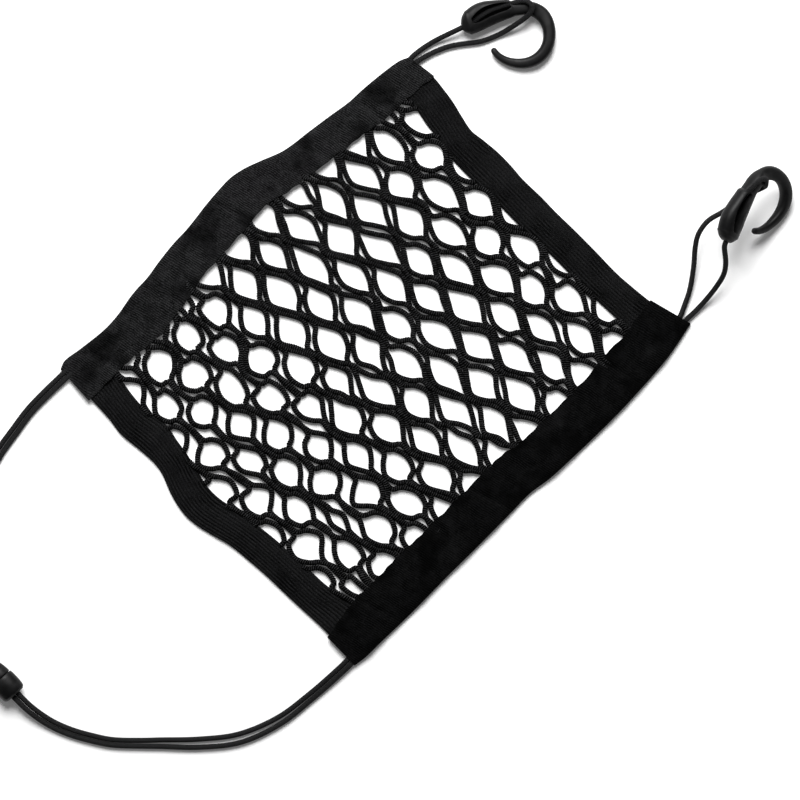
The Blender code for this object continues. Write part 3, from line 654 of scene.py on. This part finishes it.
def hookSection(inner, outer, halfHeight, swell=0.0):
    # a squarish oval with a faint parting line round its edge
    middle, reach = (inner + outer) / 2, (outer - inner) / 2
    ring = []
    for step in range(hookLook["sides"]):
        turn = 2 * math.pi * (step + 0.5) / hookLook["sides"]
        c, s = math.cos(turn), math.sin(turn)
        line = hookLook["parting"] * math.exp(-(s / hookLook["partingWidth"]) ** 2) / reach.length
        across = math.copysign(abs(c) ** hookLook["square"], c) * (1 + line + swell / reach.length)
        up = math.copysign(abs(s) ** hookLook["square"], s) * (halfHeight + swell)
        spot = middle + reach * across
        ring.append(Vector((spot.x, spot.y, up)) * mm)
    return ring


def hookRings():
    look = hookLook
    rings = []
    for along, outer, inner, halfHeight in smoothRows(hookBody, look["step"]):
        off = (along - look["collarAt"]) / look["collarWidth"]
        bump = look["collar"] * math.exp(-off ** 2)
        rings.append(hookSection(Vector((along, inner)), Vector((along, outer)), halfHeight, bump))
    centre = Vector(look["ring"])
    for degrees, inner, outer, halfWidth in smoothRows(hookStrip, 3.0)[::-1]:
        outward = Vector((math.cos(math.radians(degrees)), math.sin(math.radians(degrees))))
        # the ring's underside stays level where its strip grows wider
        share = clamp((look["liftFrom"] - degrees) / look["liftOver"])
        lift = Vector((0, 0, max(0.0, halfWidth - look["flatHalf"]) * share)) * mm
        rings.append([spot + lift for spot in hookSection(
            centre + outward * inner, centre + outward * outer, halfWidth)])
    tip = sum(rings[-1], Vector()) / len(rings[-1])
    ahead = (tip - Vector((*centre, 0)) * mm).cross(Vector((0, 0, 1))).normalized() * mm
    for share, reach in look["tipRounding"]:
        rings.append([tip.lerp(spot, share) + ahead * reach for spot in rings[-1]])
    return rings


def carve(piece, cutters):
    # cuts the cutters' shapes out of the piece, and leaves nothing of them behind
    for cutter in cutters:
        cut = piece.modifiers.new("cut", "BOOLEAN")
        cut.operation = "DIFFERENCE"
        cut.object = cutter
    soften = piece.modifiers.new("soften", "BEVEL")
    soften.width = edgeLook["round"] * mm
    soften.segments = 2
    soften.limit_method = "ANGLE"
    soften.angle_limit = math.radians(edgeLook["from"])
    graph = bpy.context.evaluated_depsgraph_get()
    made = bpy.data.meshes.new_from_object(piece.evaluated_get(graph))
    piece.modifiers.clear()
    piece.data = made
    for cutter in cutters:
        bpy.data.objects.remove(cutter)


def makeHook(name, node, hook):
    body = bmesh.new()
    addLoft(body, hookRings())
    piece = loose(name, body)
    outline = smoothRows(hookPocket, 1.0)
    edge = [(a, outer) for a, outer, _ in outline] + [(a, inner) for a, _, inner in outline[::-1]]
    body = bmesh.new()
    addLoft(body, [[Vector((a, b, z)) * mm for a, b in edge]
                   for z in (hookLook["pocketFloor"], hookLook["pocketTop"])])
    pocket = loose("pocket", body)
    body, lay = newBody()
    route = [Vector(row) * mm for row in (*hookCord, channelEnd)]
    addTube(body, lay, smoothRoute(route, 1.2 * mm), hookLook["channel"] * mm, 16)
    channel = loose("channel", body)
    carve(piece, [pocket, channel])
    piece.data.transform(hookMatrix(hook))
    dressPlastic(piece, node, finishes["hook"])
    return piece


def dressPlastic(piece, node, finish):
    dress(piece, finish, edgeLook["crisp"])
    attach(piece, "root")
    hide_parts(node)


lockLook = {"centre": (-298.5, 6.5), "bore": (3.8, 2.0), "sides": 64, "step": 0.5}
lockBarrel = [  # y, half width, half height
    (-4.7, 6, 4.5), (-4.2, 6.6, 5.1), (-3.4, 7.5, 5.9), (1, 8, 6.4), (6, 7.9, 6.3), (7.9, 7.6, 6),
    (8.2, 7.4, 5.8),
]
lockNeck = [(8.21, 6.2, 4.7), (8.38, 6.2, 4.7)]
lockButton = [
    (8.4, 7.1, 5.6), (9, 7.2, 5.7), (11.5, 7, 5.6), (14.5, 6.5, 5.1), (16.6, 5.9, 4.4),
    (17.5, 5, 3.3),
]


def makeLockPiece(name, node, rows, neck):
    look = lockLook
    x, z = look["centre"]
    rings = []
    for y, halfWidth, halfHeight in smoothRows(rows, look["step"]) + neck:
        ring = []
        for step in range(look["sides"]):
            turn = 2 * math.pi * (step + 0.5) / look["sides"]
            ring.append(place(x + halfWidth * math.cos(turn), y, z + halfHeight * math.sin(turn)))
        rings.append(ring)
    body = bmesh.new()
    addLoft(body, rings)
    piece = loose(name, body)
    straight = look["bore"][0] - look["bore"][1]
    bore = []
    for y in (rows[0][0] - 2, rows[-1][0] + 3):
        ring = []
        for side in (1, -1):
            for step in range(13):
                turn = math.radians(-90 + 15 * step)
                ring.append(place(x + side * (straight + look["bore"][1] * math.cos(turn)), y,
                                  z + side * look["bore"][1] * math.sin(turn)))
        bore.append(ring)
    body = bmesh.new()
    addLoft(body, bore)
    carve(piece, [loose("bore", body)])
    dressPlastic(piece, node, finishes["lock"])
    return piece


hooks = [makeHook("upperHook", "hook_upper", upperHook),
         makeHook("lowerHook", "hook_lower", lowerHook)]
lock = [makeLockPiece("lockBarrel", "lock_barrel", lockBarrel, lockNeck),
        makeLockPiece("lockButton", "lock_button", lockButton, [])]
print("hooks and lock made")

makeCord("upperHookCord", "hook_cord_upper", hookRoute(upperHook, upperCordOut, upperCordBack))
makeCord("lowerHookCord", "hook_cord_lower", hookRoute(lowerHook, lowerCordOut, lowerCordBack))
makeCord("outerLoopCord", "loop_cord_outer", loopStrand(-1))
makeCord("innerLoopCord", "loop_cord_inner", loopStrand(1))


# Casings: outer x, outer y, inner x, inner y, height; the low rows are creases
upperCasing = [
    (-147.3, 121.3, -147.5, 95.2, 4.7), (-142, 123.4, -142, 95.3, 5.3),
    (-130, 122.2, -130, 96, 5.7), (-112, 121, -112, 97, 5.5), (-100, 122.1, -100, 95.7, 5.4),
    (-88, 124.8, -88, 95.6, 5.6), (-81, 125.9, -81, 96.8, 4.9), (-72, 126.6, -72, 98.8, 5.7),
    (-60, 129, -60, 100.7, 5.4), (-47, 131, -47, 104.4, 5.7), (-35, 132, -35, 105.6, 5.4),
    (-25, 133.5, -25, 106.5, 5.6), (-18, 134.8, -18, 107.2, 4.9), (-8, 136.1, -8, 108.3, 5.7),
    (5, 137.1, 5, 110, 5.5), (15, 135.6, 15, 109.6, 5.6), (25, 132.5, 25, 107.2, 5.4),
    (40, 127.5, 40, 105.5, 5.7), (60, 125.5, 60, 104, 5.5), (75, 124, 75, 102.5, 5.3),
    (88, 122.5, 88, 101.2, 5.6), (100, 122.5, 100, 99.7, 5.4), (115, 121.7, 114, 100, 5.6),
    (127, 120.3, 127, 99.6, 5.5), (133, 118, 136.5, 99.2, 4.8),
]
lowerCasing = [
    (-137.3, -129.6, -137.8, -105.6, 4.8), (-129, -130.4, -127, -103.2, 5.5),
    (-115, -130, -112, -100.3, 5.6), (-98, -129.7, -98, -100, 4.9), (-84, -129.2, -84, -99, 5.6),
    (-72, -128.5, -72, -98.6, 5), (-60, -127.8, -60, -98.2, 5.7), (-48, -127.4, -48, -98, 5.5),
    (-34, -126.9, -34, -97.5, 4.9), (-20, -126.2, -20, -97, 5.7), (-5, -125.4, -5, -96.2, 5),
    (10, -124.6, 9, -95.6, 5.7), (25, -126.1, 25, -97.5, 5.5), (45, -126.1, 45, -97.5, 5.6),
    (65, -125.7, 65, -97, 5.4), (85, -124.8, 84, -95.8, 5.6), (100, -123.5, 99, -93, 5.4),
    (113, -122.2, 110, -93, 5.5), (126, -120.4, 122, -91, 5.6), (138, -117.7, 133, -89, 5.5),
    (149.8, -114.6, 141.5, -87.6, 4.9),
]
casingLook = {"step": 1.2, "flatDepth": 28.0, "slotDepth": 9.0, "slotLow": 0.95,
              "slotHigh": 3.75, "crownAt": 5.0, "grain": 1.2, "topFrom": 2.6, "topOver": 1.2,
              "puckers": 0.8, "folds": 1.4, "crease": 1.1, "creaseWidth": 1.7,
              "creaseRun": 6, "edge": 1.1, "edgeWave": 6.5, "underside": 2.3, "aside": 40.0}
upperCreases = [  # x, and how far it slants for each millimetre inwards
    (-128, 0.25), (-83, 0.55), (-79, 0.5), (-52, -0.2), (-18, 0.4), (-14, 0.4), (44, -0.3),
    (92, 0.2),
]
lowerCreases = [(-98, -0.4), (-72, 0.3), (-34, 0.5), (-5, -0.35), (52, 0.3), (104, -0.3)]


def casingProfile(depth, height):
    # the tape's middle line, from its lower inner edge round the fold to its upper inner edge
    look = casingLook
    low, high = look["slotLow"] / 2, look["slotHigh"] + look["slotLow"] / 2
    return [
        (depth, low), (depth - look["slotDepth"], low), (1.5, low), (0.7, height * 0.24),
        (0.5, height * 0.46), (1.2, height * 0.7), (look["crownAt"] - 2.0, height - 0.75),
        (look["crownAt"] + 1.0, height - 0.5), (look["crownAt"] + 5.0, height - 1.0),
        (depth - look["slotDepth"] - 1.5, high + 0.1), (depth - 6.5, high), (depth, high),
    ]


def fineProfile(line, grain, thickness):
    # even points along the line, softened, then the tape's two faces on either side of them
    middle = []
    for a, b in zip(line, line[1:]):
        a, b = Vector(a), Vector(b)
        pieces = max(1, round((b - a).length / grain))
        middle += [a.lerp(b, piece / pieces) for piece in range(pieces)]
    middle = softened(middle + [Vector(line[-1])], 2)
    faces = []
    for side in (1, -1):
        face = []
        for index, point in enumerate(middle):
            ahead = middle[min(index + 1, len(middle) - 1)] - middle[max(index - 1, 0)]
            ahead.normalize()
            edge = 0.55 if index in (0, len(middle) - 1) else 1.0
            face.append(point + Vector((-ahead.y, ahead.x)) * (-side * thickness / 2 * edge))
        faces += face[::side]
    return faces


def makeCasing(name, node, table, creases, seed, finish):
    look = casingLook
    body, lay = newBody()
    rings = []
    for outerX, outerY, innerX, innerY, height in smoothRows(table, look["step"]):
        outer, across = Vector((outerX, outerY)), Vector((innerX - outerX, innerY - outerY))
        depth = across.length
        across.normalize()
        ring = []
        line = casingProfile(look["flatDepth"], height)
        for inward, z in fineProfile(line, look["grain"], look["slotLow"]):
            inward *= depth / look["flatDepth"]
            spot = outer + across * inward
            onTop = clamp((z - look["topFrom"]) / look["topOver"])
            puckers = waver(spot.x / 7.5, spot.y / 16.0, seed)
            folds = waver(spot.x / 22.0, spot.y / 30.0, seed + 7.0)
            z += onTop * (look["puckers"] * puckers + look["folds"] * folds)
            for at, lean in creases:
                off = (spot.x - at - lean * inward) / look["creaseWidth"]
                fall = onTop * look["crease"] * math.exp(-off * off)
                z -= fall * min(1.0, inward / look["creaseRun"])
            # the stitched edge draws in where a cord of the net pulls
            pull = waver(spot.x / look["edgeWave"], seed, 1.0)
            spot += across * look["edge"] * pull * (inward / depth) ** 4
            # the weave of the underside lies aside from that of the top
            aside = 0.0 if z > look["underside"] else look["aside"]
            vert = body.verts.new(place(spot.x, spot.y, max(z, 0.0)))
            vert[lay] = (spot.x, math.copysign(inward, across.y) + aside, 0.0)
            ring.append(vert)
        rings.append(ring)
    joinRings(body, rings)
    for end in (rings[0], rings[-1]):
        for index in range(len(end) // 2 - 1):
            body.faces.new((end[index], end[index + 1], end[-2 - index], end[-1 - index]))
    bmesh.ops.recalc_face_normals(body, faces=body.faces)
    piece = finishMesh(name, body, finishes[finish], 70)
    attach(piece, "root")
    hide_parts(node)


makeCasing("upperCasing", "casing_upper", upperCasing, upperCreases, 3.0, "upperTape")
makeCasing("lowerCasing", "casing_lower", lowerCasing, lowerCreases, 11.0, "lowerTape")
print("casings made")


# Elastics: outer x, outer y, inner x, inner y
hookEndElastic = [
    (134.4, 106.2, 114.5, 107), (135.9, 99, 115, 99.5), (135.5, 90, 115, 90),
    (134.5, 80, 113.5, 80), (132.5, 70, 113, 70), (131, 60, 111, 60), (132.4, 51, 110.8, 50),
    (134, 39, 111.2, 40), (134.3, 28, 112.2, 30), (134, 18, 113, 18), (135, 2, 113.5, 2),
    (135.3, -10, 114, -10), (136.3, -27, 115.7, -27), (137, -45, 116.5, -45),
    (137.4, -62, 117.3, -62), (139, -76, 118.5, -76), (140.6, -87, 119.4, -86),
    (142.3, -95, 121, -98.6),
]
loopEndElastic = [
    (-146.5, 102.3, -123.5, 103), (-146, 94, -124.2, 95), (-146, 80, -126, 80),
    (-147, 68, -126, 68), (-145.2, 54, -123.2, 54), (-144, 43, -124.8, 41),
    (-144.8, 34, -125.8, 32), (-149.4, 20, -128.2, 20), (-151.4, 7, -130, 8),
    (-150.5, -3, -129.2, -2), (-147.5, -14, -126, -14), (-144, -25, -124, -25),
    (-141.7, -40, -121.5, -40), (-140, -55, -120, -55), (-139, -70, -118.5, -70),
    (-137.8, -84, -117, -84), (-136.6, -97, -113.6, -96), (-136.2, -105.5, -112.3, -101),
    (-136, -112.3, -112, -107.2),
]
elasticLook = {"thickness": 1.8, "ribs": 11, "ribHeight": 0.7, "perRib": 6, "underSteps": 8,
               "step": 1.2, "crown": 3.2, "crownFrom": 2, "crownOver": 16, "thinEdge": 0.5,
               "waver": 0.35, "crownWaver": 0.6, "curl": 0.3}
slotMiddle = (casingLook["slotLow"] + casingLook["slotHigh"]) / 2


def casingEdge(x, upper):
    return between(upperCasing if upper else lowerCasing, x, key=2, column=3)


def fromCasing(x, y):
    return min(casingEdge(x, True) - y, y - casingEdge(x, False))


def eased(share):
    share = clamp(share)
    return share * share * (3 - 2 * share)


def clothHeight(x, y):
    # the net and the elastics lie on the floor, and rise into the casings' slots
    share = eased(fromCasing(x, y) / netLook["rise"])
    return slotMiddle + (netLook["rest"] - slotMiddle) * share


def makeElastic(name, node, table, seed):
    look = elasticLook
    half = look["thickness"] / 2
    count = look["ribs"] * look["perRib"]
    body, lay = newBody()
    rings = []
    for outerX, outerY, innerX, innerY in smoothRows(table, look["step"], key=1):
        outer, across = Vector((outerX, outerY)), Vector((innerX - outerX, innerY - outerY))
        width = across.length
        height = max(clothHeight((outerX + innerX) / 2, (outerY + innerY) / 2), half + 0.2)
        height += look["waver"] * waver(outerY / 14.0, seed, 0.0)
        height = max(height, half + 0.1)
        away = fromCasing(innerX, outerY) - look["crownFrom"]
        crown = look["crown"] * eased(away / look["crownOver"])
        crown *= 0.75 + look["crownWaver"] * waver(outerY / 24.0, seed + 9.0, 0.0)
        profile = [(step / look["underSteps"], -half) for step in range(look["underSteps"] + 1)]
        for step in range(count, -1, -1):
            share = step / count
            rib = look["ribHeight"] * abs(math.sin(math.pi * share * look["ribs"])) ** 0.7
            edge = min(share, 1 - share) * width
            thinner = look["thinEdge"] * max(0.0, 1 - edge)
            profile.append((share, half - look["ribHeight"] + rib - thinner))
        ring = []
        for share, z in profile:
            spot = outer + across * share
            curl = look["curl"] * waver(outerY / 9.0, share * 2.0, seed + 4.0)
            arch = crown * (1 - (2 * share - 1) ** 2) + (max(curl, 0.0) if z > 0 else 0.0)
            vert = body.verts.new(place(spot.x, spot.y, height + z + arch))
            vert[lay] = (outerY, share * width, share * look["ribs"])
            ring.append(vert)
        rings.append(ring)
    joinRings(body, rings)
    capEnds(body, rings)
    bmesh.ops.recalc_face_normals(body, faces=body.faces)
    piece = finishMesh(name, body, finishes["elastic"], 60)
    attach(piece, "root")
    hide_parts(node)


makeElastic("hookEndElastic", "elastic_hook_end", hookEndElastic, 2.0)
makeElastic("loopEndElastic", "elastic_loop_end", loopEndElastic, 5.0)
print("elastics made")


# Net. A cell stands where column plus row is even, and a crossing where it is odd
lattice = {"middle": (8.0, 24.0), "columnPitch": 12.2, "columnGather": 0.3, "columnLean": 3.0,
           "rowPitch": 20.4, "rowGather": 0.5, "middleRow": -1, "rowsToCasing": 4,
           "halfNet": 110.0, "columns": range(-12, 11), "rows": range(-7, 6)}
cellLook = {"share": 0.6, "closed": 1.5, "place": 3.0, "width": 0.34, "height": 0.3,
            "lean": 22.0, "leanAlong": 0.07, "grain": (0.63, 0.71)}
cellHeights = [(-125, 19), (-60, 21), (0, 29), (50, 29), (115, 23)]  # x, height of the cells there
closedCells = [(-6, 4), (8, 4), (-8, -4), (-10, -6)]
openLegs = [  # column and row of a leg's lower crossing, and the side that it leans to
    (-11, 2, 1), (-11, 0, 1), (-9, 0, 1), (-9, 0, -1), (-10, -3, 1), (-9, -4, 1), (-7, -4, 1),
    (-7, -2, 1), (-5, -4, -1), (-5, -4, 1), (-5, -2, 1), (-3, -2, 1), (8, -5, 1),
]


def latticePoint(column, row):
    up = (lattice["middleRow"] - row) / lattice["rowsToCasing"]
    pitch = lattice["columnPitch"] - lattice["columnGather"] * up * up
    x = lattice["middle"][0] + lattice["columnLean"] * up + column * pitch
    out = x / lattice["halfNet"]
    rise = row * (lattice["rowPitch"] - lattice["rowGather"] * out * out)
    return Vector((x, lattice["middle"][1] + out + rise))


def uneven(column, row, seed):
    along, across = cellLook["grain"]
    return waver(column * along, row * across, seed)


def cellAt(column, row):
    # centre, half width as a vector, half height as a leaning vector
    look = cellLook
    centre = latticePoint(column, row)
    spacing = latticePoint(column + 1, row).x - latticePoint(column - 1, row).x
    width = spacing * look["share"] * (1 + look["width"] * uneven(column, row, 1.0))
    if (column, row) in closedCells:
        width = look["closed"]
    height = between(cellHeights, centre.x) * (1 + look["height"] * uneven(column, row, 2.0))
    lean = 90 + look["leanAlong"] * centre.x + look["lean"] * uneven(column, row, 3.0)
    centre += Vector((uneven(column, row, 4.0), uneven(column, row, 5.0))) * look["place"]
    angle = math.radians(lean)
    return centre, Vector((width / 2, 0)), Vector((math.cos(angle), math.sin(angle))) * height / 2


def netLeft(y):
    return between(loopEndElastic, y, key=3, column=2)


def netRight(y):
    return between(hookEndElastic, y, key=3, column=2)


def slitWidth(column, row, side):
    # how far a leg's cords stand apart; the net is looser towards the loop end
    look = netLook
    slack = uneven(column + side / 2, row, 6.0) - latticePoint(column, row).x / look["tightening"]
    if (column, row, side) in openLegs or slack > look["openAbove"]:
        return look["openSlit"]
    return look["thinSlit"] if slack > look["thinAbove"] else 0.0


def crossingSpots(column, row):
    # where the cords of a neck pass: outer left, outer right, below, middle, above
    r, reach = netLook["radius"], netLook["tipReach"]
    leftCell, leftHalf, _ = cellAt(column - 1, row)
    rightCell, rightHalf, _ = cellAt(column + 1, row)
    lowCell, _, lowUp = cellAt(column, row - 1)
    highCell, _, highUp = cellAt(column, row + 1)
    left, right = leftCell + leftHalf, rightCell - rightHalf
    below, above = lowCell + lowUp, highCell - highUp
    middle = Vector(((left.x + right.x) / 2, (left.y + right.y + below.y + above.y) / 4))
    half = clamp((right.x - left.x) / 2 - r, netLook["neckLow"], netLook["neckHigh"])
    below = Vector((clamp(below.x, middle.x - reach, middle.x + reach),
                    min(below.y, middle.y - reach)))
    above = Vector((clamp(above.x, middle.x - reach, middle.x + reach),
                    max(above.y, middle.y + reach)))
    outerLeft = Vector((middle.x - half, (left.y + middle.y) / 2))
    outerRight = Vector((middle.x + half, (right.y + middle.y) / 2))
    return outerLeft, outerRight, below, middle, above


def legSpots(column, row, side, slit):
    # the middles of a leg's left and right cords, each beside the cell that it runs along
    look = netLook
    highCell, highWide, highUp = cellAt(column, row + 1)
    lowCell, lowWide, lowUp = cellAt(column + side, row)
    nearHigh = highCell + look["beside"] * (highWide * side - highUp)
    nearLow = lowCell - look["beside"] * (lowWide * side - lowUp)
    across = nearLow - nearHigh
    room = across.length / 2 - look["radius"]
    across.normalize()
    half = look["radius"] * look["close"] + slit / 2
    if slit == look["openSlit"]:
        half = clamp(room, half - look["closer"], half + look["wider"])
    middle = (nearHigh + nearLow) / 2
    spots = (middle - across * half, middle + across * half)
    return spots if side == 1 else spots[::-1]


def netStrands():
    # walks up each cord of the net from crossing to crossing
    look = netLook
    crossings = {(c, r): crossingSpots(c, r) for c in lattice["columns"] for r in lattice["rows"]
                 if (c + r) % 2}
    legs = {}
    for column, row in crossings:
        for side in (1, -1):
            if (column + side, row + 1) in crossings:
                legs[column, row, side] = legSpots(column, row, side, slitWidth(column, row, side))

    def through(leg, hand):
        # the points of a cord over the crossing that a leg ends in, and the leg that it goes on in
        column, row, side = leg[0] + leg[2], leg[1] + 1, leg[2]
        left, right, below, middle, above = crossings[column, row]
        if side == 1 and hand == "left":
            return [(left, 0.0)], (column, row, -1), "left"
        if side == -1 and hand == "right":
            return [(right, 0.0)], (column, row, 1), "right"
        lift = look["under"] if side == 1 else look["over"]
        low = lift * look["shoulderLift"]
        lean = Vector((look["shoulder"] * side, 0))
        spread = clamp((right.x - left.x) / 2 - look["neckFull"], 0, look["neckSpread"])
        turn = side * (1 if column % 3 else -1)
        swap = Vector((spread * look["spreadShare"] * turn, 0))
        spots = [(below - lean, low), (middle - swap, lift), (above + lean, low)]
        return spots, (column, row, side), "left" if side == 1 else "right"

    follows = {(leg, hand): through(leg, hand) for leg in legs for hand in ("left", "right")}
    reached = {(leg, hand) for _, leg, hand in follows.values()}
    strands = []
    for start in sorted(follows):
        if start in reached:
            continue
        leg, hand = start
        strand = []
        while leg in legs:
            raised = look["raised"] if leg[2] == -1 and hand == "right" else look["lying"]
            strand.append(Vector((*legs[leg][0 if hand == "left" else 1], raised)))
            spots, nextLeg, nextHand = follows[leg, hand]
            strand += [Vector((*point, lift)) for point, lift in spots]
            leg, hand = nextLeg, nextHand
        strands.append(strand)
    return strands


def makeNet():
    look = netLook
    body, lay = newBody()
    total = 0.0
    for number, strand in enumerate(netStrands()):
        run = []
        for point in softened(smoothRoute(strand, look["step"]), look["softening"]) + [None]:
            if point is not None:
                x, y = point.x, point.y
                inside = (netLeft(y) - look["endTuck"] < x < netRight(y) + look["endTuck"]
                          and fromCasing(x, y) > -look["tuck"])
                if inside:
                    z = clothHeight(x, y) + point.z * clamp(fromCasing(x, y) / look["sink"])
                    size = look["waverSize"]
                    z += look["waver"] * waver(x / size, y / size, number)
                    run.append(place(x, y, max(z, look["radius"] + look["ridge"])))
                    continue
            if len(run) > 5:
                run = evenly(run, look["pitch"] / 2 * mm)
                addTube(body, lay, run, look["radius"] * mm, look["sides"], look["ridge"] * mm,
                        look["pitch"])
                total += sum((b - a).length for a, b in zip(run, run[1:]))
            run = []
    piece = finishMesh("netCords", body, finishes["net"], 70)
    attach(piece, "root")
    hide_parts("net")
    print("net cords:", round(total, 2), "m,", len(piece.data.polygons), "faces")


makeNet()


# Floor and soft light
studio = {"floorLow": (0.90, 0.90, 0.90), "floorHigh": (0.93, 0.93, 0.93), "floorGlow": 0.08,
          "floorReach": 4, "floorUnder": 0.0001, "skyLight": 0.1, "keyPower": 72.0,
          "keySize": 1.3, "keyAt": (0.75, 1.0, 1.45),
          "fillPower": 1.0, "fillSize": 1.4, "fillAt": (-0.5, 0.6, 1.6)}


def makeFloor():
    material, tree, shader, spot, _ = newFinish("paleFloor")
    grain = noiseAt(tree, spot, 40.0, 3.0)
    tree.links.new(mixColour(tree, grain, studio["floorLow"], studio["floorHigh"]),
                   shader.inputs["Base Color"])
    shader.inputs["Roughness"].default_value = 0.9
    shader.inputs["Specular IOR Level"].default_value = 0.1
    shader.inputs["Emission Color"].default_value = (1, 1, 1, 1)
    shader.inputs["Emission Strength"].default_value = studio["floorGlow"]
    body = bmesh.new()
    reach = studio["floorReach"]
    corners = ((-reach, -reach), (reach, -reach), (reach, reach), (-reach, reach))
    body.faces.new([body.verts.new((x, y, -studio["floorUnder"])) for x, y in corners])
    finishMesh("floor", body, material)


def addLight(name, size, power, at):
    light = bpy.data.lights.new(name, "AREA")
    light.shape = "DISK"
    light.size = size
    light.energy = power
    lamp = bpy.data.objects.new(name, light)
    lamp.location = at
    lamp.rotation_euler = (-Vector(at)).to_track_quat("-Z", "Y").to_euler()
    bpy.context.scene.collection.objects.link(lamp)


makeFloor()
world = bpy.data.worlds.new("studio")
world.use_nodes = True
world.node_tree.nodes["Background"].inputs["Color"].default_value = (1, 1, 1, 1)
world.node_tree.nodes["Background"].inputs["Strength"].default_value = studio["skyLight"]
bpy.context.scene.world = world
bpy.context.scene.view_settings.view_transform = "Standard"
addLight("keyLight", studio["keySize"], studio["keyPower"], studio["keyAt"])
addLight("fillLight", studio["fillSize"], studio["fillPower"], studio["fillAt"])
